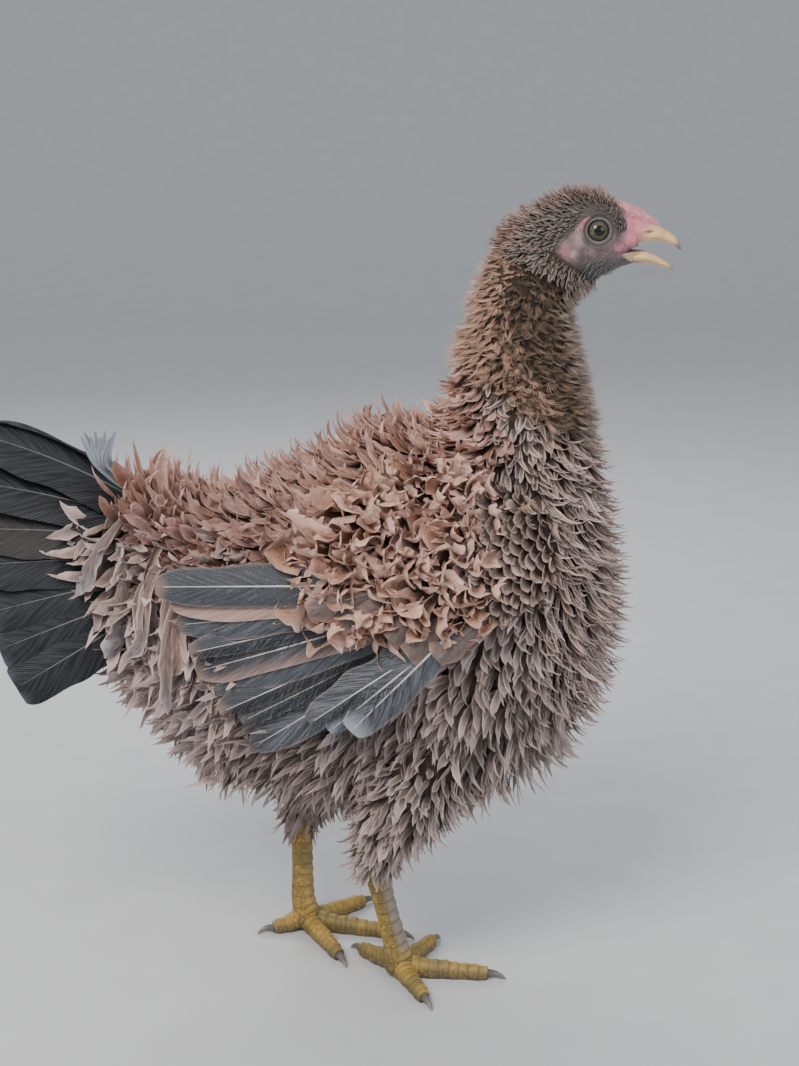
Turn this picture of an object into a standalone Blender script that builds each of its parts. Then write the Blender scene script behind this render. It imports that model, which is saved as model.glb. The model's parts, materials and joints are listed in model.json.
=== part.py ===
"""A life-size young frizzle chicken, standing with its head up and its bill open.

The bird faces +X, its right side is -Y and +Z is up. Body measures are in
millimetres and are turned into metres where the meshes are made.
"""

import math
import random

import bpy
import bmesh
from mathutils import Matrix, Vector
from mathutils.bvhtree import BVHTree

MM = 0.001
GAP = 0.3  # clear space between two nodes that meet
SLIVER = 0.01  # edges shorter than this are closed up after a union
FEATHER_CLEAR = 0.55  # least from a feather to the nodes next to its own
FLOOR_CLEAR = 1.0  # lowest that a feather's tip hangs over the floor
SEED = 7
SIDES = {"right": -1, "left": 1}

# Body rings from the tail to the nape: top x, z; bottom x, z; half width, all out
# to the feather tips, and the depth of the coat over the skin.
TRUNK = [
    (-112, 226, -114, 132, 30, 14),
    (-90, 226, -92, 104, 42, 18),
    (-63, 233, -68, 84, 54, 21),
    (-36, 243, -40, 76, 63, 22),
    (-13, 255, -8, 73, 68, 22),
    (4, 260, 24, 75, 70, 22),
    (15, 263, 49, 84, 69, 22),
    (18.5, 266, 73, 103, 66, 22),
    (20, 271, 90, 129, 60, 21),
    (21, 277, 97, 166, 53, 20),
    (20, 282, 95, 203, 45, 18),
    (19.5, 286, 90, 238, 37, 15),
    (20.5, 292, 87, 261, 32, 14.5),
    (24, 299, 83, 281, 28, 13.5),
    (26, 308, 79, 299, 25, 12),
    (33, 323, 80, 306, 22, 8.5),
    (45, 336, 83, 311, 19, 4),
]
NECK_BASE = 11
NAPE = 16
TRUNK_SIDES = 24
NECK_SIDES = 16
CORE_DEPTH = 0.6  # share of the coat left to the feathers, over the solid core

# The fleshy root of the tail, from its end to the rump.
TAIL = [
    (-141, 216, -142, 182, 12, 6),
    (-128, 222, -130, 158, 22, 11),
    (-112, 226, -114, 132, 30, 14),
]

# The head's rings, from the nape to the root of the bill.
HEAD = [
    (45, 336, 83, 311, 19, 4),
    (53, 342, 88, 315, 17.2, 2.6),
    (62, 346.6, 92, 317, 16.4, 1.6),
    (72, 350, 95, 318.5, 15.5, 1),
    (81, 350.3, 97.5, 319.5, 13.8, 0.5),
    (89, 347.5, 99, 320.3, 11, 0),
    (95, 344, 100, 321, 8.6, 0),
    (100, 340.5, 101, 321.6, 6.6, 0),
]
HEAD_SIDES = 20
BILL_UPPER = [
    (100.3, 340, 100.9, 329.3, 5.6, 0),
    (104.5, 338.4, 104.8, 329.8, 4.9, 0),
    (108.5, 336.9, 108.8, 330, 4.2, 0),
    (112.5, 335.2, 112.4, 329.8, 3.4, 0),
    (116.2, 332.9, 115.4, 328.8, 2.5, 0),
    (118.9, 330.2, 117.8, 327.6, 1.5, 0),
    (120.4, 326.6, 119.7, 326.2, 0.4, 0),
]
BILL_LOWER = [
    (101.2, 325.3, 101.4, 321.6, 5.0, 0),
    (105, 325.1, 105, 322.3, 4.4, 0),
    (109.5, 323.8, 109.2, 320.9, 3.6, 0),
    (113.5, 321.6, 113, 319, 2.5, 0),
    (116, 319.9, 115.6, 318.5, 1.4, 0),
    (117.6, 318.6, 117.4, 318.2, 0.4, 0),
]
BILL_SIDES = 10
COMB = [
    (92.8, 346, 93, 341, 1.6, 0),
    (97.5, 345, 97.6, 339.5, 2.5, 0),
    (102, 343.2, 102.3, 336.8, 2.4, 0),
    (105.8, 340.7, 106.2, 335.2, 1.8, 0),
    (108.8, 338, 108.6, 334.6, 0.8, 0),
]
GAPE = (93.6, 325.7)  # the corner of the mouth, x and z
MOUTH_REACH = 106  # x to which the cut of the open mouth runs
MOUTH_TOP = 330.1
MOUTH_LOW = 325.4
MOUTH_HALF_WIDTH = 12
NOSTRIL = (106.3, 4.6, 334.2)
NOSTRIL_SIZE = (1.6, 1.3, 0.6)
EYE = (82.9, 9.8, 335.3)
EYE_RADIUS = 5.4
EYE_SEGMENTS = 14
LID_RADIUS = 5.6
LID_OUT = 3.5  # how far the lids' ring lies outside the eye's centre
LID_THICK = 0.9
EARLOBE = (70.5, 14.6, 327.2)
EARLOBE_SIZE = (4.6, 2.2, 5.4)

# Each folded wing: the middle and half lengths of its fleshy part, and its slope.
WING_CENTRE = (13, 51, 204)
WING_REACH = (53, 13.5, 32)
WING_SLOPE = math.radians(6)
WING_LEAN = math.radians(20)

# Each leg: hock, ankle and ball, then each toe's tip.
LEGS = {
    "right": {
        "hock": (-12, -31, 60),
        "ankle": (-2, -25.8, 16),
        "ball": (0, -25, 6),
        "knee": (14, -34, 112),
        "toes": {
            "middle": (40, -29),
            "outer": (11, -51.5),
            "inner": (15.5, 4),
            "hind": (-17.5, -4.5),
        },
    },
    "left": {
        "hock": (-47, 30, 56),
        "ankle": (-46.2, 22.8, 16),
        "ball": (-44, 22.6, 6),
        "knee": (-20, 34, 110),
        "toes": {
            "middle": (-1, 12),
            "outer": (-18, 47),
            "inner": (-28, -11),
            "hind": (-60, 17.6),
        },
    },
}
SHANK_RADIUS = 5.3
SHANK_SIDES = 10
SHANK_PLATES = 7
TOE_PLATES = 4
PLATE_SPAN = 0.9  # share of a scute's length where it stands highest
PLATE_LIFT = 0.45
THIGH_RISE = 8.5
THIGH_SPAN = (0.1, 0.95)
THIGH_PLACES = (0.3, 0.6, 0.95, 1.25)
THIGH_RADII = (7.5, 9, 14.5, 20, 20, 11)
TOE_HALF_WIDTHS = (4.4, 4.1, 3.7, 3.2, 2.6)
TOE_HEIGHTS = (5.6, 4.6, 4.2, 3.8, 3.1)
TOE_SIDES = 8
SOLE_SINK = 0.7  # how much of a toe's round underside is flattened on the floor
BALL_SIZE = (7.6, 7.0, 6.6)
CLAW_LENGTH = 8.5
CLAW_RADIUS = 2.1
CLAW_SIDES = 6

# Feathers of the coat. Each curls from its first slope over the skin to its last, in
# degrees, and is as long as it takes to rise through the coat.
COAT = {
    "back": {"apart": 19, "width": 18, "slopes": (6, 90), "droop": 0.0},
    "flank": {"apart": 20, "width": 20, "slopes": (8, 72), "droop": 0.35},
    "breast": {"apart": 18, "width": 15, "slopes": (4, 54), "droop": 0.2},
    "belly": {"apart": 22.5, "width": 20, "slopes": (8, 66), "droop": 0.5},
    "neck": {"apart": 14, "width": 13, "slopes": (8, 88), "droop": 0.0},
    "thigh": {"apart": 15, "width": 14, "slopes": (8, 52), "droop": 0.3},
}
SPREAD = 9  # degrees by which feathers turn aside, either way
LENGTH_SPREAD = 0.14
CROWDED = (1, 0.8, 0.62)  # shares of its length that a feather tries to fit in
MOST_BREADTH = 0.85  # of its length
FEATHER_THICK = 1.3
ROOT_SINK = 4.5
DARTS = 2600  # random tries at placing the feathers of one surface

# Shares of a feather's length where it is measured, and of its width there.
CURL_PLACES = (0.38, 0.76)
CURL_WIDTHS = (1.0, 0.78)
FOOT_WIDTH = 0.6
VANE_PLACES = (0.16, 0.5, 0.8, 0.95)
VANE_WIDTHS = (0.75, 1.0, 0.92, 0.6)
VANE_THICK = 1.15
VANE_BOW = 6  # degrees that a vane rises at its root and falls at its tip
VANE_STEP = 1.3  # from one vane to the next that overlaps it, through both

FLIGHTS = 9
FLIGHT_ROOTS = ((2, 196), (18, 178))  # x and z of the first and the last quill
FLIGHT_ANGLES = (2, 34)  # degrees below level
FLIGHT_LENGTHS = (106, 100)
FLIGHT_WIDTH = 17
FLIGHT_LEAN = math.radians(8)
FLIGHT_ROOT_Y = 67
FLIGHT_TIP_Y = (49, 60)  # for the first and the last, if none lay under another
SHORT_INWARD = 6  # how much nearer the body their tips are than their roots
SHORT_FLIGHTS = 2
SHORT_ANGLES = (36, 44)
SHORT_LENGTH = 72
WING_COVERTS = {"apart": 17, "width": 18, "slopes": (10, 98), "rise": 14}

TAIL_VANES = 6  # on each side
TAIL_ROOTS = ((-128, 216), (-128, 170))
TAIL_ANGLES = (30, -33)  # degrees above level
TAIL_LENGTHS = (64, 50)
TAIL_WIDTH = 22
TAIL_Y = (2.2, 2.3)  # the first vane's distance from the middle, and the step
TAIL_LEANS = (52, 8)
TAIL_SPLAY = (3, 15)  # how far the first and last vanes stand out at their tips
TAIL_COVERTS = {"apart": 13.5, "width": 13, "slopes": (58, -35), "length": 32}
TAIL_PLUMES = {"apart": 13, "width": 10, "slopes": (30, 95), "length": 24}

COLOURS = {
    "plumage": (0.33, 0.20, 0.14),
    "flight_feather": (0.14, 0.17, 0.20),
    "tail_feather": (0.08, 0.10, 0.11),
    "face_skin": (0.30, 0.20, 0.20),
    "comb_skin": (0.72, 0.25, 0.30),
    "bill_horn": (0.74, 0.55, 0.30),
    "eye": (0.25, 0.20, 0.12),
    "leg_scale": (0.66, 0.45, 0.12),
    "claw": (0.42, 0.36, 0.30),
}


def clear_scene():
    for thing in list(bpy.data.objects):
        bpy.data.objects.remove(thing)


def material(name):
    found = bpy.data.materials.get(name)
    if found:
        return found
    found = bpy.data.materials.new(name)
    found.use_nodes = True
    shader = found.node_tree.nodes["Principled BSDF"]
    shader.inputs["Base Color"].default_value = (*COLOURS[name], 1)
    shader.inputs["Roughness"].default_value = 0.3 if name == "eye" else 0.75
    shader.inputs["Metallic"].default_value = 0.0
    return found


def mesh_object(name, points, faces, finish):
    """One closed object from points in millimetres, its faces turned outwards."""
    mesh = bpy.data.meshes.new(name)
    mesh.from_pydata([Vector(p) * MM for p in points], [], faces)
    work = bmesh.new()
    work.from_mesh(mesh)
    bmesh.ops.recalc_face_normals(work, faces=work.faces)
    work.to_mesh(mesh)
    work.free()
    mesh.materials.append(material(finish))
    made = bpy.data.objects.new(name, mesh)
    bpy.context.scene.collection.objects.link(made)
    return made


def tube_faces(rings, sides):
    """Triangles of a tube of rings, with both ends closed by a fan."""
    faces = []
    for i in range(rings - 1):
        for k in range(sides):
            a = i * sides + k
            b = i * sides + (k + 1) % sides
            faces += [(a, b, b + sides), (a, b + sides, a + sides)]
    last = (rings - 1) * sides
    for k in range(1, sides - 1):
        faces.append((0, k + 1, k))
        faces.append((last, last + k, last + k + 1))
    return faces


def blend(before, start, end, after, t):
    """A smooth curve's value between start and end."""
    return 0.5 * (
        2 * start
        + (end - before) * t
        + (2 * before - 5 * start + 4 * end - after) * t * t
        + (3 * start - before - 3 * end + after) * t**3
    )


def row_at(rows, place):
    """The row of a table at a fractional place, smoothly between its neighbours."""
    last = len(rows) - 1
    i = min(int(place), last - 1)
    near = [rows[max(0, min(last, i + k))] for k in (-1, 0, 1, 2)]
    return [blend(*values, place - i) for values in zip(*near)]


def body_point(rings, place, turn, inset=0.0):
    """A body's surface: turn 0 is its back, pi its belly, and +Y lies between."""
    top_x, top_z, low_x, low_z, half_width, _ = row_at(rings, place)
    top = Vector((top_x, 0, top_z))
    low = Vector((low_x, 0, low_z))
    reach = (top - low) / 2
    reach *= 1 - inset / reach.length
    side = Vector((0, half_width - inset, 0))
    return (top + low) / 2 + reach * math.cos(turn) + side * math.sin(turn)


def coat_depth(rings, place):
    return row_at(rings, place)[5]


def ring_normal(rings, place):
    """The direction from the tail to the head, square to the ring."""
    top_x, top_z, low_x, low_z, _, _ = row_at(rings, place)
    rung = Vector((top_x - low_x, 0, top_z - low_z)).normalized()
    return Vector((rung.z, 0, -rung.x))


def loft(name, rings, places, sides, finish, depth=0.0, swell=0.0, back=0.0, front=0.0):
    """A closed body through rings, its ends moved by back and front along its length."""
    points = []
    for place in places:
        shift = Vector()
        if place == places[0]:
            shift = ring_normal(rings, place) * back
        if place == places[-1]:
            shift = ring_normal(rings, place) * front
        inset = coat_depth(rings, place) * depth - swell
        for k in range(sides):
            points.append(body_point(rings, place, math.tau * k / sides, inset) + shift)
    return mesh_object(name, points, tube_faces(len(places), sides), finish)


def sections(start, end, count):
    return [start + (end - start) * i / (count - 1) for i in range(count)]


def tube(name, spine, sizes, sides, finish, floor=False, axis=None):
    """A tube along a spine; each size is the half width and the half height there.

    Its rings are square to the spine, or all square to the axis.
    """
    points = []
    for i, centre in enumerate(spine):
        ahead = axis or (spine[min(i + 1, len(spine) - 1)] - spine[max(i - 1, 0)]).normalized()
        upward = Vector((0, 0, 1)) if abs(ahead.z) < 0.7 else Vector((1, 0, 0))
        across = ahead.cross(upward).normalized()
        upward = across.cross(ahead)
        wide, high = sizes[i]
        for k in range(sides):
            turn = math.tau * (k + 0.5) / sides
            point = centre + across * wide * math.cos(turn) + upward * high * math.sin(turn)
            if floor:
                point.z = max(point.z, 0)
            points.append(point)
    return mesh_object(name, points, tube_faces(len(spine), sides), finish)


def plated(spine, sizes, plates, front=Vector()):
    """A spine and sizes that step outwards at the far end of each of a row of scutes."""
    new_spine = []
    new_sizes = []
    last = len(spine) - 1
    for i in range(plates):
        for share, lift in ((i / plates, 0), ((i + PLATE_SPAN) / plates, PLATE_LIFT)):
            k = min(int(share * last), last - 1)
            part = share * last - k
            wide, high = (a + (b - a) * part for a, b in zip(sizes[k], sizes[k + 1]))
            new_spine.append(spine[k].lerp(spine[k + 1], part) + front * lift)
            new_sizes.append((wide + lift, high + lift))
    new_spine.append(spine[-1])
    new_sizes.append(sizes[-1])
    return new_spine, new_sizes


def ball(name, centre, size, finish, segments=12, floor=False):
    """An ellipsoid whose poles lie along Y."""
    rings = segments // 2
    points = []
    faces = []
    for i in range(1, rings):
        polar = math.pi * i / rings
        for k in range(segments):
            turn = math.tau * k / segments
            offset = (
                size[0] * math.sin(polar) * math.cos(turn),
                size[1] * math.cos(polar),
                size[2] * math.sin(polar) * math.sin(turn),
            )
            points.append(Vector(centre) + Vector(offset))
    faces = tube_faces(rings - 1, segments)[: 2 * segments * (rings - 2)]
    first_pole = len(points)
    points.append(Vector(centre) + Vector((0, size[1], 0)))
    points.append(Vector(centre) - Vector((0, size[1], 0)))
    last = (rings - 2) * segments
    for k in range(segments):
        after = (k + 1) % segments
        faces.append((first_pole, after, k))
        faces.append((first_pole + 1, last + k, last + after))
    if floor:
        for point in points:
            point.z = max(point.z, 0)
    return mesh_object(name, points, faces, finish)


def eyelid_ring(name, centre, side):
    """The rim of both lids round one eye."""
    around = EYE_SEGMENTS
    section = 6
    points = []
    faces = []
    for i in range(around):
        turn = math.tau * i / around
        outward = Vector((math.cos(turn), 0, math.sin(turn)))
        middle = centre + Vector((0, side * LID_OUT, 0)) + outward * LID_RADIUS
        for k in range(section):
            tilt = math.tau * k / section
            lift = Vector((0, side * math.sin(tilt), 0))
            points.append(middle + (outward * math.cos(tilt) + lift) * LID_THICK)
    for i in range(around):
        for k in range(section):
            a = i * section + k
            b = i * section + (k + 1) % section
            c = (i + 1) % around * section + k
            d = (i + 1) % around * section + (k + 1) % section
            faces += [(a, b, d), (a, d, c)]
    return mesh_object(name, points, faces, "face_skin")


def prism(name, outline, half_width, finish):
    """A closed slab over an outline in x and z, from -Y to +Y."""
    count = len(outline)
    points = [Vector((x, y, z)) for y in (-half_width, half_width) for x, z in outline]
    faces = []
    for i in range(count):
        after = (i + 1) % count
        faces += [(i, after, after + count), (i, after + count, i + count)]
    for i in range(1, count - 1):
        faces.append((0, i, i + 1))
        faces.append((count, count + i + 1, count + i))
    return mesh_object(name, points, faces, finish)


def combine(target, pieces, operation, solver="MANIFOLD"):
    """Joins pieces to the target or cuts them from it, and removes them."""
    group = bpy.data.collections.new("pieces")
    bpy.context.scene.collection.children.link(group)
    for piece in pieces:
        bpy.context.scene.collection.objects.unlink(piece)
        group.objects.link(piece)
    step = target.modifiers.new(operation.lower(), "BOOLEAN")
    step.operation = operation
    step.operand_type = "COLLECTION"
    step.collection = group
    step.solver = solver
    state = bpy.context.evaluated_depsgraph_get()
    result = bpy.data.meshes.new_from_object(target.evaluated_get(state))
    finish = target.data.materials[0]
    target.modifiers.clear()
    target.data = result
    result.materials.clear()
    result.materials.append(finish)
    for piece in pieces:
        bpy.data.objects.remove(piece)
    bpy.data.collections.remove(group)
    keep_largest(target)


def keep_largest(target):
    """Closes up slivers and leaves only the largest closed surface of a mesh."""
    work = bmesh.new()
    work.from_mesh(target.data)
    bmesh.ops.dissolve_degenerate(work, dist=SLIVER * MM, edges=work.edges)
    bmesh.ops.triangulate(work, faces=work.faces)
    left = set(work.faces)
    shells = []
    while left:
        stack = [left.pop()]
        shell = []
        while stack:
            face = stack.pop()
            face.material_index = 0
            shell.append(face)
            for edge in face.edges:
                if len(edge.link_faces) != 2:
                    continue
                for other in edge.link_faces:
                    if other in left:
                        left.remove(other)
                        stack.append(other)
        shells.append(shell)
    shells.sort(key=lambda shell: sum(face.calc_area() for face in shell))
    scraps = [face for shell in shells[:-1] for face in shell]
    bmesh.ops.delete(work, geom=scraps, context="FACES")
    work.to_mesh(target.data)
    work.free()


def feather(root, lie, out, length, width, slopes, thick, places, widths, sink, dip):
    """Points and faces of one tapered, bending vane, its ridge along its middle.

    It leaves the root along lie, raised by the first slope, and ends at the last.
    Its foot lies sink behind the root and dip under it.
    """
    across = lie.cross(out).normalized()
    first, last = (math.radians(slope) for slope in slopes)
    fine = 24
    line = [Vector(root)]
    for i in range(fine):
        slope = first + (last - first) * (i + 0.5) / fine
        line.append(line[-1] + (lie * math.cos(slope) + out * math.sin(slope)) * length / fine)
    begin = lie * math.cos(first) + out * math.sin(first)
    rings = [(line[0] - begin * sink - out * dip, widths[0] * FOOT_WIDTH, first)]
    for place, share in zip(places, widths):
        rings.append((line[round(place * fine)], share, first + (last - first) * place))
    points = []
    for centre, share, slope in rings:
        normal = out * math.cos(slope) - lie * math.sin(slope)
        half = across * width * share / 2
        lift = normal * thick / 2
        points += [centre - half, centre + lift, centre + half, centre - lift]
    faces = []
    for i in range(len(rings) - 1):
        left, ridge, right, keel = range(4 * i, 4 * i + 4)
        faces += [
            (left, ridge, ridge + 4), (left, ridge + 4, left + 4),
            (right, ridge + 4, ridge), (right, right + 4, ridge + 4),
            (right, keel, keel + 4), (right, keel + 4, right + 4),
            (left, keel + 4, keel), (left, left + 4, keel + 4),
        ]
    end = 4 * (len(rings) - 1)
    tip = len(points)
    points.append(line[-1])
    faces += [(0, 2, 1), (0, 3, 2)]
    faces += [(end + k, end + (k + 1) % 4, tip) for k in range(4)]
    return points, faces


def tree_of(thing):
    """An object's points and a search tree of its faces, in millimetres."""
    points = [v.co / MM for v in thing.data.vertices]
    faces = [tuple(polygon.vertices) for polygon in thing.data.polygons]
    return points, BVHTree.FromPolygons(points, faces)


def is_clear(points, faces, neighbours):
    """Whether a feather keeps its distance from the nodes near it and from the floor."""
    low = [min(point[i] for point in points) - FEATHER_CLEAR for i in range(3)]
    high = [max(point[i] for point in points) + FEATHER_CLEAR for i in range(3)]
    if low[2] < FLOOR_CLEAR:
        return False
    own = BVHTree.FromPolygons(points, faces)
    probes = list(points)
    for a, b, _ in faces:
        probes += [points[a].lerp(points[b], share) for share in (0.25, 0.5, 0.75)]
    for theirs, tree in neighbours:
        if own.overlap(tree):
            return False
        if any(tree.find_nearest(probe, FEATHER_CLEAR)[0] is not None for probe in probes):
            return False
        for point in theirs:
            inside = all(low[i] < point[i] < high[i] for i in range(3))
            if inside and own.find_nearest(point, FEATHER_CLEAR)[0] is not None:
                return False
    return True


def trunk_normal(rings, place, turn, inset):
    """The outward direction of a body's surface."""
    step = 0.02
    along = body_point(rings, place + step, turn, inset) - body_point(rings, place - step, turn, inset)
    round_it = body_point(rings, place, turn + step, inset) - body_point(rings, place, turn - step, inset)
    return along.cross(round_it).normalized()


def spread_out(candidates, apart):
    """Keeps the candidates that lie far enough from those kept before them."""
    kept = []
    for candidate in candidates:
        if all((candidate[0] - other[0]).length > apart(candidate) for other in kept):
            kept.append(candidate)
    return kept


def coat_zone(place, turn):
    """Which feathers grow on a part of the trunk."""
    from_back = abs((turn + math.pi) % math.tau - math.pi)
    if place > NECK_BASE:
        return "neck"
    if from_back < 0.9:
        return "back"
    if place > 7.5:
        return "breast"
    return "flank" if from_back < 2.1 else "belly"


def grow_coat(node, rings, places, trees, luck, zone_of=coat_zone):
    """Feathers over part of a body, clear of its neighbours, to be joined to the node."""
    candidates = []
    for _ in range(DARTS):
        place = luck.uniform(*places)
        turn = luck.uniform(0, math.tau)
        inset = coat_depth(rings, place) * CORE_DEPTH
        point = body_point(rings, place, turn, inset)
        candidates.append((point, place, turn, inset, zone_of(place, turn)))
    pieces = []
    for point, place, turn, inset, zone in spread_out(candidates, lambda c: COAT[c[4]]["apart"]):
        kind = COAT[zone]
        out = trunk_normal(rings, place, turn, inset)
        back = body_point(rings, place - 0.05, turn, inset) - point
        lie = back.normalized() + Vector((0, 0, -kind["droop"]))
        lie = (lie - out * lie.dot(out)).normalized()
        turned = Matrix.Rotation(math.radians(luck.uniform(-SPREAD, SPREAD)), 3, out)
        rise = inset * luck.uniform(1 - LENGTH_SPREAD, 1 + LENGTH_SPREAD)
        pieces += curled(node, point, turned @ lie, out, rise, kind, trees)
    return pieces


def climb(slopes):
    """How far a curled feather rises for each unit of its length."""
    first, last = (math.radians(slope) for slope in slopes)
    return (math.cos(first) - math.cos(last)) / (last - first)


def curled(node, root, lie, out, rise, kind, trees):
    """One curled feather as a list of one object, or of none where there is no room."""
    length = kind.get("length") or rise / climb(kind["slopes"])
    width = min(kind["width"], length * MOST_BREADTH)
    for share in CROWDED:
        points, faces = feather(
            root, lie, out, length * share, width * (1 + share) / 2, kind["slopes"],
            FEATHER_THICK, CURL_PLACES, CURL_WIDTHS, ROOT_SINK, ROOT_SINK / 2,
        )
        if is_clear(points, faces, trees):
            return [mesh_object(node + "_feather", points, faces, "plumage")]
    return []


def vane(node, root, tip, side, y_root, y_tip, width, lean, finish, neighbours):
    """A long straight feather from root to tip in x and z, its upper side leaning inwards."""
    start = Vector((root[0], side * y_root, root[1]))
    end = Vector((tip[0], side * y_tip, tip[1]))
    lie = (end - start).normalized()
    out = Vector((0, side * math.cos(lean), math.sin(lean)))
    out = (out - lie * out.dot(lie)).normalized()
    points, faces = feather(
        start, lie, out, (end - start).length, width, (VANE_BOW, -VANE_BOW),
        VANE_THICK, VANE_PLACES, VANE_WIDTHS, ROOT_SINK * 2, 0,
    )
    if not is_clear(points, faces, neighbours):
        return []
    return [mesh_object(node + "_vane", points, faces, finish)]


def between(pair, share):
    """The value, or the x and z, at a share of the way between two."""
    first, last = pair
    if isinstance(first, tuple):
        return tuple(a + (b - a) * share for a, b in zip(first, last))
    return first + (last - first) * share


def trunk_core(name, swell=0.0):
    return loft(
        name, TRUNK, sections(0, NECK_BASE, 12), TRUNK_SIDES, "plumage",
        depth=CORE_DEPTH, swell=swell, back=GAP / 2 - swell, front=swell - GAP / 2,
    )


def make_torso(neighbours, luck):
    torso = trunk_core("torso")
    combine(torso, grow_coat("torso", TRUNK, (0.15, NECK_BASE - 0.1), neighbours, luck), "UNION")


def make_neck(neighbours, luck):
    neck = loft(
        "neck", TRUNK, sections(NECK_BASE, NAPE, 6), NECK_SIDES, "plumage",
        depth=CORE_DEPTH, back=GAP / 2, front=-GAP / 2,
    )
    pieces = grow_coat("neck", TRUNK, (NECK_BASE + 0.12, NAPE - 0.35), neighbours, luck)
    combine(neck, pieces, "UNION")
    return neck


def make_tail(neighbours, luck):
    tail = loft(
        "tail", TAIL, sections(0, len(TAIL) - 1, 5), 16, "tail_feather",
        depth=CORE_DEPTH, front=-GAP / 2,
    )
    pieces = []
    for side in SIDES.values():
        for i in range(TAIL_VANES):
            share = i / (TAIL_VANES - 1)
            root = between(TAIL_ROOTS, share)
            angle = math.radians(between(TAIL_ANGLES, share))
            length = between(TAIL_LENGTHS, share)
            tip = (root[0] - length * math.cos(angle), root[1] + length * math.sin(angle))
            y_root = TAIL_Y[0] + TAIL_Y[1] * i
            y_tip = y_root + between(TAIL_SPLAY, share)
            pieces += vane(
                "tail", root, tip, side, y_root, y_tip, TAIL_WIDTH,
                math.radians(between(TAIL_LEANS, share)), "tail_feather", neighbours,
            )
    pieces += tail_coverts(neighbours, luck)
    combine(tail, pieces, "UNION")
    return tail


def tail_coverts(neighbours, luck):
    """Spoon-shaped feathers that hang over the tail's root, and plumes that stand on it."""
    candidates = []
    for _ in range(DARTS):
        place = luck.uniform(0.3, len(TAIL) - 1.15)
        turn = luck.uniform(0, math.tau)
        inset = coat_depth(TAIL, place) * CORE_DEPTH
        candidates.append((body_point(TAIL, place, turn, inset), place, turn, inset))
    pieces = []
    for point, place, turn, inset in spread_out(candidates, lambda c: TAIL_COVERTS["apart"]):
        out = trunk_normal(TAIL, place, turn, inset)
        on_top = out.z > 0.45
        kind = TAIL_PLUMES if on_top else TAIL_COVERTS
        lie = Vector((-1, 0, 0.3)) if on_top else Vector((-0.75, 0, -0.65))
        lie = (lie - out * lie.dot(out)).normalized()
        turned = Matrix.Rotation(math.radians(luck.uniform(-SPREAD, SPREAD)), 3, out)
        pieces += curled("tail", point, turned @ lie, out, inset, kind, neighbours)
    return pieces


def make_head():
    head = loft(
        "head", HEAD, sections(0, len(HEAD) - 1, 8), HEAD_SIDES, "face_skin",
        depth=CORE_DEPTH, back=GAP / 2,
    )
    added = []
    sockets = []
    for side in SIDES.values():
        eye = Vector(EYE) * Vector((1, side, 1))
        lobe = Vector(EARLOBE) * Vector((1, side, 1))
        added.append(eyelid_ring("lids", eye, side))
        added.append(ball("lobe", lobe, EARLOBE_SIZE, "face_skin"))
        size = [EYE_RADIUS + GAP] * 3
        sockets.append(ball("socket", eye, size, "face_skin", EYE_SEGMENTS))
    combine(head, added, "UNION")
    mouth = [GAPE, (MOUTH_REACH, MOUTH_TOP), (MOUTH_REACH, MOUTH_LOW)]
    combine(head, [prism("mouth", mouth, MOUTH_HALF_WIDTH, "face_skin"), *sockets], "DIFFERENCE")
    return head


def make_eyes():
    for name, side in SIDES.items():
        centre = Vector(EYE) * Vector((1, side, 1))
        ball(f"eye_{name}", centre, [EYE_RADIUS] * 3, "eye", EYE_SEGMENTS)


def make_bill():
    last = len(BILL_UPPER) - 1
    upper = loft("bill_upper", BILL_UPPER, sections(0, last, 7), BILL_SIDES, "bill_horn", back=GAP)
    nostrils = [
        ball("nostril", Vector(NOSTRIL) * Vector((1, side, 1)), NOSTRIL_SIZE, "bill_horn", 8)
        for side in SIDES.values()
    ]
    combine(upper, nostrils, "DIFFERENCE")
    last = len(BILL_LOWER) - 1
    loft("bill_lower", BILL_LOWER, sections(0, last, 6), BILL_SIDES, "bill_horn", back=GAP)


def make_comb():
    """The low comb, cut clear of the forehead and the bill that it grows along."""
    comb = loft("comb", COMB, sections(0, len(COMB) - 1, 9), 8, "comb_skin")
    last = len(HEAD) - 1
    forehead = loft(
        "forehead", HEAD, sections(0, last, 8), HEAD_SIDES, "face_skin",
        depth=CORE_DEPTH, swell=GAP * 1.4, front=GAP,
    )
    last = len(BILL_UPPER) - 1
    ridge = loft(
        "ridge", BILL_UPPER, sections(0, last, 7), BILL_SIDES, "bill_horn", swell=GAP * 1.4
    )
    combine(comb, [forehead, ridge], "DIFFERENCE")


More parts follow.
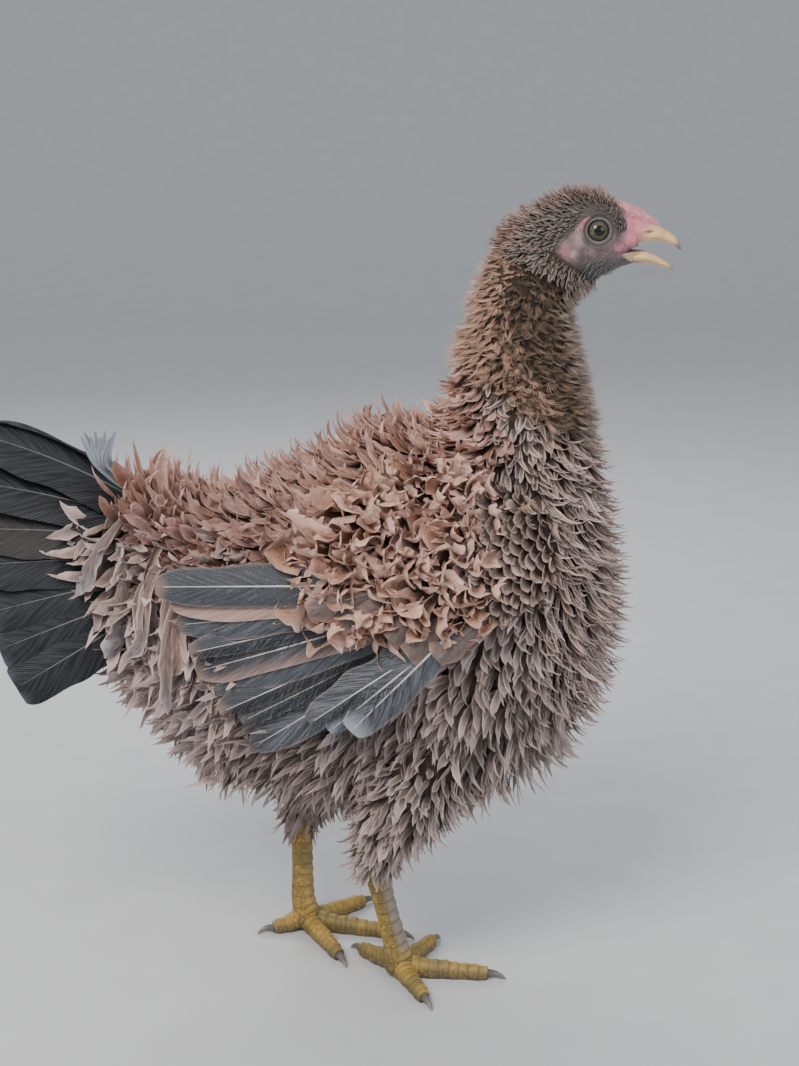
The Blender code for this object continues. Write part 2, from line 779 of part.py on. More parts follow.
def make_wing(name, side, neighbours, luck):
    """The folded wing: its fleshy part, two tiers of flight feathers and its coverts."""
    node = f"wing_{name}"
    centre = Vector(WING_CENTRE) * Vector((1, side, 1))
    wing = ball(node, Vector(), WING_REACH, "plumage", 16)
    wing.data.transform(Matrix.Rotation(-WING_SLOPE, 4, "Y"))
    wing.data.transform(Matrix.Rotation(side * WING_LEAN, 4, "X"))
    wing.data.transform(Matrix.Translation(centre * MM))
    combine(wing, [trunk_core("body", GAP)], "DIFFERENCE")
    surface = tree_of(wing)[1]
    pieces = []
    for i in range(FLIGHTS + SHORT_FLIGHTS):
        share = min(1, i / (FLIGHTS - 1))
        root = between(FLIGHT_ROOTS, share)
        angle = between(FLIGHT_ANGLES, share)
        length = between(FLIGHT_LENGTHS, share)
        if i >= FLIGHTS:
            angle = SHORT_ANGLES[i - FLIGHTS]
            length = SHORT_LENGTH
        angle = math.radians(angle)
        tip = (root[0] - length * math.cos(angle), root[1] - length * math.sin(angle))
        y_root = FLIGHT_ROOT_Y - VANE_STEP * i
        y_tip = between(FLIGHT_TIP_Y, share) - VANE_STEP * i
        if i >= FLIGHTS:
            y_root = FLIGHT_ROOT_Y + VANE_STEP * (i - FLIGHTS + 1)
            y_tip = y_root - SHORT_INWARD
        pieces += vane(
            node, root, tip, side, y_root, y_tip, FLIGHT_WIDTH, FLIGHT_LEAN,
            "flight_feather", neighbours,
        )
    pieces += wing_coverts(node, side, surface, neighbours, luck)
    combine(wing, pieces, "UNION")
    return wing


def wing_coverts(node, side, surface, neighbours, luck):
    """Cupped feathers in a rosette over the outer side of the wing."""
    candidates = []
    for _ in range(DARTS):
        turn = luck.uniform(0, math.tau)
        reach = 0.93 * math.sqrt(luck.random())
        x = WING_CENTRE[0] + WING_REACH[0] * reach * math.cos(turn)
        z = WING_CENTRE[2] + WING_REACH[2] * reach * math.sin(turn)
        z += (x - WING_CENTRE[0]) * math.tan(WING_SLOPE)
        start = Vector((x, side * 150, z))
        point, normal, _, _ = surface.ray_cast(start, Vector((0, -side, 0)))
        if point and normal.y * side > 0.2:
            candidates.append((point, normal))
    pieces = []
    kind = WING_COVERTS
    for point, out in spread_out(candidates, lambda c: kind["apart"]):
        lie = Vector((-1, 0, -0.45))
        lie = (lie - out * lie.dot(out)).normalized()
        turned = Matrix.Rotation(math.radians(luck.uniform(-2 * SPREAD, 2 * SPREAD)), 3, out)
        rise = kind["rise"] * luck.uniform(1 - LENGTH_SPREAD, 1 + LENGTH_SPREAD)
        pieces += curled(node, point, turned @ lie, out, rise, kind, neighbours)
    return pieces


def make_leg(name, neighbours, luck):
    leg = {key: Vector(value) for key, value in LEGS[name].items() if key != "toes"}
    hock, ankle, sole, knee = leg["hock"], leg["ankle"], leg["ball"], leg["knee"]
    down = (ankle - hock).normalized()
    radii = [(SHANK_RADIUS, SHANK_RADIUS)] * 2
    spine, radii = plated([hock, ankle], radii, SHANK_PLATES, Vector((1, 0, 0)))
    shank = tube(f"shank_{name}", spine, radii, SHANK_SIDES, "leg_scale", axis=down)
    neighbours = [*neighbours, tree_of(shank)]

    start = hock - down * GAP
    spine = [start, start - down * 3] + [start.lerp(knee, t) for t in THIGH_PLACES]
    thigh = tube(f"thigh_{name}", spine, [(r, r) for r in THIGH_RADII], 12, "plumage")
    combine(thigh, [trunk_core("body", GAP)], "DIFFERENCE")
    combine(thigh, thigh_feathers(name, spine, tree_of(thigh)[1], neighbours, luck), "UNION")

    top = ankle + down * GAP
    centre = Vector(sole)
    foot = tube(
        f"foot_{name}", [top, top + down * 2, centre],
        [(SHANK_RADIUS, SHANK_RADIUS), (5.8, 5.8), (5.4, 5.4)], SHANK_SIDES, "leg_scale",
    )
    pieces = [ball("pad", centre, BALL_SIZE, "leg_scale", 12, floor=True)]
    for toe, tip in LEGS[name]["toes"].items():
        pieces.append(make_toe(name, toe, centre, Vector((*tip, 0))))
    combine(foot, pieces, "UNION")
    return thigh, shank


def thigh_feathers(name, spine, surface, neighbours, luck):
    """Feathers that hang round the thigh down to the hock."""
    kind = COAT["thigh"]
    candidates = []
    for _ in range(DARTS):
        share = luck.uniform(*THIGH_SPAN)
        turn = luck.uniform(0, math.tau)
        centre = spine[0].lerp(spine[-1], share)
        away = Vector((math.cos(turn), math.sin(turn), 0))
        point, normal, _, _ = surface.ray_cast(centre, away)
        if point and away.y * spine[-1].y > -0.5 * abs(spine[-1].y):
            candidates.append((point, away))
    pieces = []
    down = (spine[0] - spine[-1]).normalized()
    for point, away in spread_out(candidates, lambda c: kind["apart"]):
        out = (away - down * away.dot(down)).normalized()
        turned = Matrix.Rotation(math.radians(luck.uniform(-SPREAD, SPREAD)), 3, out)
        pieces += curled(
            f"thigh_{name}", point, turned @ down, out, THIGH_RISE, kind, neighbours
        )
    return pieces


def make_toe(leg_name, toe_name, centre, tip):
    """One toe, for the foot to be joined with, and the claw at its end."""
    count = len(TOE_HALF_WIDTHS)
    root = Vector((centre.x, centre.y, 0))
    spine = []
    sizes = []
    for i in range(count):
        height = TOE_HEIGHTS[i]
        spine.append(root.lerp(tip, i / (count - 1)) + Vector((0, 0, height)))
        sizes.append((TOE_HALF_WIDTHS[i], height + SOLE_SINK))
    toe = tube("toe", *plated(spine, sizes, TOE_PLATES), TOE_SIDES, "leg_scale", floor=True)

    ahead = (spine[-1] - spine[-2]).normalized()
    base = spine[-1] + ahead * GAP
    level = Vector((ahead.x, ahead.y, 0)).normalized()
    claw_spine = [
        base,
        base + ahead * CLAW_LENGTH * 0.35,
        base + level * CLAW_LENGTH * 0.7 - Vector((0, 0, 0.9)),
        base + level * CLAW_LENGTH - Vector((0, 0, 2.2)),
    ]
    claw_radii = [CLAW_RADIUS, CLAW_RADIUS * 0.85, CLAW_RADIUS * 0.6, CLAW_RADIUS * 0.22]
    name = f"claw_{leg_name}_{toe_name}"
    tube(name, claw_spine, [(r * 0.8, r) for r in claw_radii], CLAW_SIDES, "claw", floor=True)
    return toe


def gather():
    """Gives each object its own origin and stands the bird over the world's origin."""
    things = [thing for thing in bpy.data.objects if thing.type == "MESH"]
    corners = [v.co for thing in things for v in thing.data.vertices]
    low = Vector([min(c[i] for c in corners) for i in range(3)])
    high = Vector([max(c[i] for c in corners) for i in range(3)])
    stand = bpy.data.objects.new("frizzle_chicken", None)
    bpy.context.scene.collection.objects.link(stand)
    stand.location = (-(low.x + high.x) / 2, -(low.y + high.y) / 2, -low.z)
    for thing in things:
        points = [v.co for v in thing.data.vertices]
        centre = sum(points, Vector()) / len(points)
        thing.data.transform(Matrix.Translation(-centre))
        thing.location = centre
        thing.parent = stand
        thing.data.shade_smooth()
        thing.data.set_sharp_from_angle(angle=math.radians(40))


def main():
    clear_scene()
    luck = random.Random(SEED)
    make_eyes()
    make_bill()
    make_comb()
    head = make_head()
    body = trunk_core("body")
    body_tree = tree_of(body)
    bpy.data.objects.remove(body)
    neck = make_neck([tree_of(head), body_tree], luck)
    tail = make_tail([body_tree], luck)
    nodes = [neck, tail]
    for name, side in SIDES.items():
        others = [tree_of(node) for node in nodes]
        nodes.append(make_wing(name, side, [body_tree, *others], luck))
    for name in SIDES:
        others = [tree_of(node) for node in nodes]
        nodes += make_leg(name, [body_tree, *others], luck)
    make_torso([tree_of(node) for node in nodes], luck)
    gather()


main()
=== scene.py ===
import json
import math

import bmesh
import bpy
import numpy as np
from mathutils import Matrix, Vector

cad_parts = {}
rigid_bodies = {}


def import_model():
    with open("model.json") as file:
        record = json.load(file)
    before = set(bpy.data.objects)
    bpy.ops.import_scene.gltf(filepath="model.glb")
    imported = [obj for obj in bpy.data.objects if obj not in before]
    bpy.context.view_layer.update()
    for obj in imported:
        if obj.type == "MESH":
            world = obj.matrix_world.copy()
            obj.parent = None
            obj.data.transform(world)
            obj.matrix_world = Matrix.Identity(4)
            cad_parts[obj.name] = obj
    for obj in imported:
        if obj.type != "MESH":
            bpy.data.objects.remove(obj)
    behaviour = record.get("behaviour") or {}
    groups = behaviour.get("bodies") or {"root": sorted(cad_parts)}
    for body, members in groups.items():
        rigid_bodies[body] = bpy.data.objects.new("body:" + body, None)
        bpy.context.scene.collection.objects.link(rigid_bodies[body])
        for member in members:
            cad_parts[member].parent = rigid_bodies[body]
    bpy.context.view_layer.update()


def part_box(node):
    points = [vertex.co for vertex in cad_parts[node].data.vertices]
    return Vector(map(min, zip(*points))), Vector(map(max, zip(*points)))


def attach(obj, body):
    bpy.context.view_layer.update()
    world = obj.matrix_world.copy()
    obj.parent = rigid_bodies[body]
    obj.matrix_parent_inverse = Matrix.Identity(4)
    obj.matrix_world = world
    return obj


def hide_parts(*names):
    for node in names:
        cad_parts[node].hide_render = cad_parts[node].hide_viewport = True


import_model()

# The studio: a pale plain floor that sweeps up behind the bird, three soft lamps
# and the camera. Body measures are in millimetres, as on a breeder's chart, and
# the eye's centre ties them to the frame.
MM = 0.001
EYE = np.array((82.9, 9.8, 335.3))
FAR_SIDE = np.array((1, -1, 1))
eye_low, eye_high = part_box("eye_right")
SHIFT = (np.array(eye_low) + np.array(eye_high)) / 2 - EYE * FAR_SIDE * MM


def in_frame(points):
    """Body measures as metres in the frame."""
    return np.asarray(points, float) * MM + SHIFT


scene = bpy.context.scene


def placed(name, data):
    """A new object in the scene, at the frame's origin."""
    made = bpy.data.objects.new(name, data)
    scene.collection.objects.link(made)
    return made


SENSOR = 36
FOCAL_LENGTH, PICTURE_HEIGHT = 1860, 1066  # in the picture's own units
CAMERA_PLACE, CAMERA_DIP = (0, -800, 401), 14  # degrees below level
camera_data = bpy.data.cameras.new("camera")
camera_data.sensor_width = SENSOR
camera_data.lens = SENSOR * FOCAL_LENGTH / PICTURE_HEIGHT
camera = placed("camera", camera_data)
camera.location = in_frame(CAMERA_PLACE)
camera.rotation_euler = (math.radians(90 - CAMERA_DIP), 0, 0)
scene.camera = camera

AIR_COLOUR, AIR_STRENGTH = (0.90, 0.93, 1.0, 1), 0.66
scene.world = bpy.data.worlds.new("studio_air")
scene.world.use_nodes = True
air = scene.world.node_tree.nodes["Background"]
air.inputs["Color"].default_value = AIR_COLOUR
air.inputs["Strength"].default_value = AIR_STRENGTH

LAMPS_AIM = (0, 0, 190)
LAMPS = {
    "key_lamp": ((-450, -900, 1150), 620, 18.0, (1.0, 0.96, 0.91)),
    "fill_lamp": ((950, -700, 600), 700, 4.0, (0.90, 0.95, 1.0)),
    "back_lamp": ((-300, 900, 900), 600, 7.0, (1.0, 0.98, 0.95)),
}
for lamp_name, (lamp_place, lamp_size, lamp_power, lamp_colour) in LAMPS.items():
    lamp_data = bpy.data.lights.new(lamp_name, "AREA")
    lamp_data.energy = lamp_power
    lamp_data.size = lamp_size * MM
    lamp_data.color = lamp_colour
    lamp = placed(lamp_name, lamp_data)
    lamp.location = in_frame(lamp_place)
    aim = Vector(in_frame(LAMPS_AIM)) - lamp.location
    lamp.rotation_euler = aim.to_track_quat("-Z", "Y").to_euler()


class Wire:
    """A value in a node tree; sums on it add Math nodes to the same tree."""

    def __init__(self, tree, socket=None):
        self.tree = tree
        self.socket = socket

    def node(self, kind, settings=None, feeds=None, output=0):
        made = self.tree.nodes.new(kind)
        for key, value in (settings or {}).items():
            if key == "stops":
                for i, (place, colour) in enumerate(value):
                    stops = made.color_ramp.elements
                    stop = stops[i] if i < 2 else stops.new(place)
                    stop.position = place
                    stop.color = (*colour, 1)
            else:
                setattr(made, key, value)
        for key, value in (feeds or {}).items():
            if isinstance(value, Wire):
                self.tree.links.new(value.socket, made.inputs[key])
            else:
                made.inputs[key].default_value = value
        return Wire(self.tree, made.outputs[output])

    def math(self, operation, *values):
        return self.node("ShaderNodeMath", {"operation": operation}, dict(enumerate(values)))

    def vector(self, operation, *values):
        return self.node("ShaderNodeVectorMath", {"operation": operation}, dict(enumerate(values)))

    def scaled(self, factor):
        return self.node("ShaderNodeVectorMath", {"operation": "SCALE"}, {0: self, 3: factor})

    def __add__(self, other):
        return self.math("ADD", self, other)

    def __sub__(self, other):
        return self.math("SUBTRACT", self, other)

    def __rsub__(self, other):
        return self.math("SUBTRACT", other, self)

    def __mul__(self, other):
        return self.math("MULTIPLY", self, other)

    def __truediv__(self, other):
        return self.math("DIVIDE", self, other)

    def __pow__(self, other):
        return self.math("POWER", self, other)

    __radd__ = __add__
    __rmul__ = __mul__

    def ramp(self, low, high, start=0.0, end=1.0):
        """0 to 1, or start to end, as the value goes from low to high."""
        feeds = {"Value": self, "From Min": low, "From Max": high, "To Min": start, "To Max": end}
        return self.node("ShaderNodeMapRange", {"interpolation_type": "SMOOTHSTEP"}, feeds)

    def mix(self, first, second, share):
        """Two colours mixed by a share."""
        first, second = (c if isinstance(c, Wire) else (*c, 1) for c in (first, second))
        settings = {"data_type": "RGBA", "clamp_factor": True}
        return self.node("ShaderNodeMix", settings, {0: share, 6: first, 7: second}, 2)

    def shade(self, factor):
        """A colour made lighter or darker by a factor."""
        settings = {"data_type": "RGBA", "blend_type": "MULTIPLY"}
        grey = self.node("ShaderNodeCombineColor", {}, {0: factor, 1: factor, 2: factor})
        return self.node("ShaderNodeMix", settings, {0: 1.0, 6: self, 7: grey}, 2)

    def ground(self):
        """The place on the bird, in the frame."""
        return self.node("ShaderNodeTexCoord", output="Object")

    def noise(self, scale, detail=3.0, roughness=0.5, place=None, distortion=0.0):
        feeds = {"Vector": place or self.ground(), "Scale": scale, "Detail": detail}
        feeds.update({"Roughness": roughness, "Distortion": distortion})
        return self.node("ShaderNodeTexNoise", {}, feeds)

    def grain(self, x, y, z, detail=3.0, roughness=0.6):
        """Noise that follows a piece's own measures."""
        place = self.node("ShaderNodeCombineXYZ", {}, {0: x, 1: y, 2: z})
        return self.noise(1.0, detail, roughness, place)

    def cells(self, feature, scale, **more):
        """Small cells: pores, pebbles or net-like scales."""
        feeds = {"Vector": self.ground(), "Scale": scale, **more}
        return self.node("ShaderNodeTexVoronoi", {"feature": feature}, feeds)

    def reading(self, name, output="Fac"):
        return self.node("ShaderNodeAttribute", {"attribute_name": name}, output=output)


def finish(name, roughness=0.6, specular=0.5, sheen=0.0, coat=0.0):
    """A material, the wire to build it with and its shader's inputs."""
    made = bpy.data.materials.new(name)
    made.use_nodes = True
    shader = made.node_tree.nodes["Principled BSDF"]
    shader.inputs["Roughness"].default_value = roughness
    shader.inputs["Specular IOR Level"].default_value = specular
    shader.inputs["Sheen Weight"].default_value = sheen
    shader.inputs["Coat Weight"].default_value = coat
    return made, Wire(made.node_tree), shader.inputs


def feed(inputs, **wires):
    """Links wires to a shader's inputs, named with _ for each space."""
    for name, wire in wires.items():
        socket = inputs[name.replace("_", " ")]
        wire.tree.links.new(wire.socket, socket)


def bumped(height, strength, distance):
    feeds = {"Height": height, "Strength": strength, "Distance": distance}
    return height.node("ShaderNodeBump", {}, feeds)


floor_finish, wire, inputs = finish("pale_floor", roughness=0.85)
speck = wire.noise(30, 4)
feed(inputs, Base_Color=wire.mix((0.52, 0.53, 0.54), (0.60, 0.61, 0.62), speck))
FLOOR_HALF, FLOOR_BACK, SWEEP, WALL = 6.0, 2.2, 2.0, 4.0  # metres
SWEEP_ARC = 1.45  # radians
bends = [
    (FLOOR_BACK + SWEEP * math.sin(a), SWEEP * (1 - math.cos(a)))
    for a in np.linspace(0, SWEEP_ARC, 24)
]
profile = [(-FLOOR_HALF, 0.0), *bends, (bends[-1][0] + 0.5, bends[-1][1] + WALL)]
floor_mesh = bpy.data.meshes.new("floor")
floor_mesh.from_pydata(
    [(x, y, z) for y, z in profile for x in (-FLOOR_HALF, FLOOR_HALF)], [],
    [(2 * i, 2 * i + 1, 2 * i + 3, 2 * i + 2) for i in range(len(profile) - 1)], shade_flat=False,
)
floor_mesh.materials.append(floor_finish)
floor = placed("floor", floor_mesh)

# The skin of the body: one closed hide over trunk, neck, tail root, wings and
# thighs. It is thin, warm and downy, lies under the feathers by their depth, and
# shows only between them; its dark brown is the down's colour darkened as
# painted shade for those gaps.

# Rings from the tail's end to the bill: top x, z; bottom x, z; half width, all
# out to the feather tips, and the depth of the coat.
BODY = np.array([
    (-141, 216, -142, 182, 12, 6),
    (-128, 222, -130, 158, 22, 11),
    (-112, 226, -114, 132, 30, 14),
    (-90, 226, -92, 104, 42, 18),
    (-63, 233, -68, 84, 54, 21),
    (-36, 243, -40, 76, 63, 22),
    (-13, 255, -8, 73, 68, 22),
    (4, 260, 24, 75, 70, 22),
    (15, 263, 49, 84, 69, 22),
    (18.5, 266, 73, 103, 66, 22),
    (20, 271, 90, 129, 60, 21),
    (21, 277, 97, 166, 53, 20),
    (20, 282, 95, 203, 45, 18),
    (19.5, 286, 90, 238, 37, 15),
    (20.5, 292, 87, 261, 32, 14.5),
    (24, 299, 83, 281, 28, 13.5),
    (26, 308, 79, 299, 25, 12),
    (33, 323, 80, 306, 22, 8.5),
    (45, 336, 83, 311, 19, 4),
    (53, 342, 88, 315, 17.2, 2.6),
    (62, 346.6, 92, 317, 16.4, 1.6),
    (72, 350, 95, 318.5, 15.5, 1),
    (81, 350.3, 97.5, 319.5, 13.8, 0.5),
    (89, 347.5, 99, 320.3, 11, 0),
    (95, 344, 100, 321, 8.6, 0),
    (100.6, 339.9, 101.6, 322.0, 5.7, 0),
])
NAPE, BILL_ROOT = 18, 25  # rings
SKIN_DEPTH = 0.62  # share of the coat's depth at which the skin lies
WING_CENTRE = (13, 51, 204)
WING_REACH = (53, 13.5, 32)
WING_SLOPE = math.radians(6)
WING_LEAN = math.radians(20)
LEGS = {
    "right": {
        "hock": (-12, -31, 60),
        "ankle": (-2, -25.8, 16),
        "ball": (0, -25, 6),
        "knee": (14, -34, 112),
        "toes": {
            "middle": (40, -29),
            "outer": (11, -51.5),
            "inner": (15.5, 4),
            "hind": (-17.5, -4.5),
        },
    },
    "left": {
        "hock": (-47, 30, 56),
        "ankle": (-46.2, 22.8, 16),
        "ball": (-44, 22.6, 6),
        "knee": (-20, 34, 110),
        "toes": {
            "middle": (-1, 12),
            "outer": (-18, 47),
            "inner": (-28, -11),
            "hind": (-60, 17.6),
        },
    },
}
SIDES = {"right": -1, "left": 1}
THIGH_PLACES = (0, 0.04, 0.3, 0.6, 0.95, 1.25)
THIGH_RADII = (7.2, 8.5, 13.5, 19, 19, 10)


def rows_at(table, place):
    """Rows of a table at fractional places, smoothly between the given ones."""
    table = np.asarray(table, float)
    last = len(table) - 1
    place = np.asarray(place, float)
    i = np.clip(np.floor(place).astype(int), 0, last - 1)
    t = (place - i)[..., None]
    a, b, c, d = (table[np.clip(i + k, 0, last)] for k in (-1, 0, 1, 2))
    return 0.5 * (
        2 * b + (c - a) * t + (2 * a - 5 * b + 4 * c - d) * t**2 + (3 * b - a - 3 * c + d) * t**3
    )


def unit(vectors, tiny=0.0):
    """Vectors brought to the length of one."""
    return vectors / (np.linalg.norm(vectors, axis=-1, keepdims=True) + tiny)


def ring_points(rows, turn, inset):
    """Points on lofted rings: turn 0 is the top, pi the bottom, and +Y lies between."""
    top_x, top_z, low_x, low_z, half = np.moveaxis(rows[..., :5], -1, 0)
    nothing = np.zeros_like(top_x)
    reach = np.stack([(top_x - low_x) / 2, nothing, (top_z - low_z) / 2], -1)
    reach = reach * (1 - inset / np.linalg.norm(reach, axis=-1))[..., None]
    middle = np.stack([(top_x + low_x) / 2, nothing, (top_z + low_z) / 2], -1)
    side = np.stack([nothing, half - inset, nothing], -1)
    return middle + reach * np.cos(turn)[..., None] + side * np.sin(turn)[..., None]


def on_body(place, turn, depth=SKIN_DEPTH, extra=0.0):
    rows = rows_at(BODY, place)
    return ring_points(rows, np.asarray(turn, float), rows[..., 5] * depth + extra)


def wing_points(polar, turn, side, swell=0.0):
    """Points on a folded wing's fleshy part, polar 0 at its outermost place."""
    x, y, z = (reach + swell for reach in WING_REACH)
    local = np.stack([
        x * np.sin(polar) * np.cos(turn),
        side * y * np.cos(polar),
        z * np.sin(polar) * np.sin(turn),
    ], -1)
    tilt = Matrix.Rotation(side * WING_LEAN, 3, "X") @ Matrix.Rotation(-WING_SLOPE, 3, "Y")
    return local @ np.array(tilt).T + np.array(WING_CENTRE) * (1, side, 1)


def tube_points(spine, radii, turn, place):
    """Points on a round tube whose spine and radii are smoothed along their length."""
    spine = np.asarray(spine, float)
    centre = rows_at(spine, place)
    ahead = unit(rows_at(spine, place + 0.05) - rows_at(spine, place - 0.05))
    upward = np.where(np.abs(ahead[..., 2:]) < 0.7, (0.0, 0.0, 1.0), (1.0, 0.0, 0.0))
    across = unit(np.cross(ahead, upward))
    upward = np.cross(across, ahead)
    radii = rows_at(np.asarray(radii, float), place)
    wide = across * (radii[..., :1] * np.cos(turn)[..., None])
    high = upward * (radii[..., -1:] * np.sin(turn)[..., None])
    return centre + wide + high


def grid_of(rows, columns):
    """Two grids of the values, one along the rows and one along the columns."""
    return np.meshgrid(np.asarray(rows, float), np.asarray(columns, float), indexing="ij")


def soft_step(value, low, high):
    t = np.clip((value - low) / (high - low), 0, 1)
    return t * t * (3 - 2 * t)


def depth_inside(points, outline):
    """How far each point, in x and z, lies inside an outline; negative outside."""
    nearest = np.full(points.shape[:-1], 1e9)
    inside = np.zeros(points.shape[:-1], bool)
    for a, b in zip(outline, np.roll(outline, -1, axis=0)):
        edge = b - a
        share = np.clip(((points - a) @ edge) / (edge @ edge), 0, 1)
        nearest = np.minimum(nearest, np.linalg.norm(points - a - share[..., None] * edge, axis=-1))
        crosses = (a[1] > points[..., 1]) != (b[1] > points[..., 1])
        rise = np.where(abs(edge[1]) < 1e-9, 1e-9, edge[1])
        inside ^= crosses & (points[..., 0] < a[0] + (points[..., 1] - a[1]) * edge[0] / rise)
    return np.where(inside, nearest, -nearest)


def around(count):
    return np.arange(count) * math.tau / count


def tube_faces(rings, sides, start=0):
    """Faces of a tube of rings, closed at its first end."""
    faces = []
    for i in range(rings - 1):
        for k in range(sides):
            a = start + i * sides + k
            b = start + i * sides + (k + 1) % sides
            faces.append((a, b, b + sides, a + sides))
    return [*faces, tuple(start + k for k in reversed(range(sides)))]


def closed_faces(rings, sides, start=0):
    """Faces of a tube of rings, with both ends closed."""
    end = start + (rings - 1) * sides
    return [*tube_faces(rings, sides, start), tuple(end + k for k in range(sides))]


def pointed_faces(rings, sides, start=0):
    """Faces of a tube of rings that runs out to the one point after them."""
    end = start + (rings - 1) * sides
    point = [(end + k, end + (k + 1) % sides, end + sides) for k in range(sides)]
    return tube_faces(rings, sides, start) + point


def face_outwards(mesh):
    work = bmesh.new()
    work.from_mesh(mesh)
    bmesh.ops.recalc_face_normals(work, faces=work.faces)
    work.to_mesh(mesh)
    work.free()


def mark(mesh, name, value):
    """Keeps a number on each point of a mesh."""
    kept = mesh.attributes.new(name, "FLOAT", "POINT")
    kept.data.foreach_set("value", np.asarray(value, np.float32).ravel())


def piece_of(name, shells, material):
    """One object from closed shells, each a grid of points in body measures."""
    points = []
    faces = []
    for shell in shells:
        rings, sides = shell.shape[:2]
        faces += closed_faces(rings, sides, len(points))
        points += [tuple(p) for p in in_frame(shell).reshape(-1, 3)]
    mesh = bpy.data.meshes.new(name)
    mesh.from_pydata(points, [], faces, shade_flat=False)
    face_outwards(mesh)
    mesh.materials.append(material)
    return placed(name, mesh)


def settle(thing):
    """Replaces an object's mesh by what its modifiers make of it."""
    state = bpy.context.evaluated_depsgraph_get()
    result = bpy.data.meshes.new_from_object(thing.evaluated_get(state))
    thing.modifiers.clear()
    thing.data = result
    result.name = thing.name


def fuse(thing, voxel):
    """Makes overlapping shells one skin of even small faces."""
    step = thing.modifiers.new("fuse", "REMESH")
    step.mode = "VOXEL"
    step.voxel_size = voxel * MM
    step.use_smooth_shade = True
    relax = thing.modifiers.new("relax", "SMOOTH")
    relax.iterations = 2
    relax.factor = 0.5
    material = thing.data.materials[0]
    settle(thing)
    thing.data.materials.clear()
    thing.data.materials.append(material)


def markings(wire):
    """Broad and fine patches, alike on skin and feathers, each from 0 to 1."""
    return wire.noise(26, 2).ramp(0.38, 0.66), wire.noise(110, 2, 0.6).ramp(0.32, 0.70)


hide_finish, wire, inputs = finish("downy_hide", roughness=0.9, specular=0.2)
broad, fine = markings(wire)
# The down's brown, made dark as painted shade for the gaps between the feathers.
down = wire.mix((0.045, 0.031, 0.024), (0.080, 0.056, 0.044), broad)
down = wire.mix(down, (0.040, 0.030, 0.026), fine * 0.6)
tufts = wire.noise(420, 4, 0.7)
feed(inputs, Base_Color=down.shade(tufts * 0.5 + 0.75), Normal=bumped(tufts, 0.7, 0.002))


def thigh_points(leg, place, turn):
    """Points on a thigh, from the hock to the knee, with those two."""
    hock, knee = np.array(leg["hock"], float), np.array(leg["knee"], float)
    spine = [hock + (knee - hock) * t for t in THIGH_PLACES]
    return tube_points(spine, [(r,) for r in THIGH_RADII], turn, place), hock, knee


place, turn = grid_of(np.linspace(0, NAPE + 1.5, 90), around(72))
hide = [on_body(place, turn, extra=0.3 + 2.2 * soft_step(place, 18.4, 19.2))]
for side in SIDES.values():
    polar, turn = grid_of(np.linspace(0.03, math.pi - 0.03, 24), around(40))
    hide.append(wing_points(polar, turn, side, swell=-0.5))
place, turn = grid_of(np.linspace(0, 5, 30), around(32))
hide += [thigh_points(leg, place, turn)[0] for leg in LEGS.values()]
body_skin = piece_of("body_skin", hide, hide_finish)
fuse(body_skin, voxel=2.0)
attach(body_skin, "root")
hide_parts("torso", "neck", "thigh_right", "thigh_left", "wing_right", "wing_left", "tail")

# The coat's feathers. Each is a keratin vane on a shaft, ragged where its barbs
# part, and in this breed it curls up and outwards from the skin. They grow from
# the hide, one feather to each root, closer or sparser from place to place.


def feather_shape(group, outline, rings, columns=3, bite=0.0, push=0.0, uneven=0.0):
    """A flat feather, measured along and across; the coat bends each of its copies."""
    luck = np.random.default_rng(7 + len(group.objects))
    steps = np.linspace(-1, 1, columns)
    points = []
    for t in rings:
        edges = outline(t) * (1 + uneven * luck.uniform(-1, 1, 2))
        notched = luck.random(2) < 0.4
        for sheet, across in ((1, steps), (-1, steps[-2:0:-1])):
            for step in across:
                side = int(step > 0)
                width = edges[side] * ((1 - bite) if notched[side] else 1)
                along = min(1.0, t + push * abs(step) * (not notched[side]))
                points.append((step * width, along, sheet * (1 - abs(step))))
    points.append((0, 1, 0))
    shape_of(group, points, pointed_faces(len(rings), 2 * columns - 2))


def shape_of(group, points, faces):
    """Keeps a feather's measures on its points, for the coat and its colours."""
    mesh = bpy.data.meshes.new("feather")
    mesh.from_pydata(points, [], faces, shade_flat=False)
    for axis, name in enumerate(("across", "along", "ridge")):
        mark(mesh, name, [p[axis] for p in points])
    sharp = mesh.attributes.new("sharp_edge", "BOOLEAN", "EDGE")
    flat = [all(abs(points[k][2]) < 0.5 for k in edge.vertices) for edge in mesh.edges]
    sharp.data.foreach_set("value", flat)
    shape = bpy.data.objects.new("feather", mesh)
    group.objects.link(shape)


shape_groups = []


def shapes(name):
    group = bpy.data.collections.new(name)
    scene.collection.children.link(group)
    shape_groups.append(group)
    return group


def wisp_shape(group, strands, spread, seed):
    """A tuft of loose barbs that part from one short quill, as in down."""
    luck = np.random.default_rng(seed)
    points = []
    faces = []
    for strand in range(strands):
        lean = spread * (2 * strand / (strands - 1) - 1) + luck.uniform(-0.1, 0.1)
        reach = luck.uniform(0.7, 1.0)
        kick = luck.uniform(-1, 1)
        rings = (0.0, 0.35, 0.7)
        first = len(points)
        for t in rings:
            middle = lean * t ** 1.3
            half = 0.075 * (1 - 0.6 * t)
            points += [
                (middle - half, t * reach, kick * t),
                (middle + half, t * reach, kick * t),
                (middle, t * reach, kick * t + 1 - 0.5 * t),
            ]
        points.append((lean, reach, kick))
        faces += pointed_faces(len(rings), 3, first)
    shape_of(group, points, faces)


def spindle(t, peak=0.45, foot=0.3, sharp=0.8):
    """A feather's breadth along its length: a foot, a widest place and a point."""
    if t < peak:
        return foot + (1 - foot) * math.sin(math.pi / 2 * t / peak)
    return max(0.05, math.cos(math.pi / 2 * (t - peak) / (1 - peak)) ** sharp)


VARIANTS = 4  # feathers that differ a little in each kind


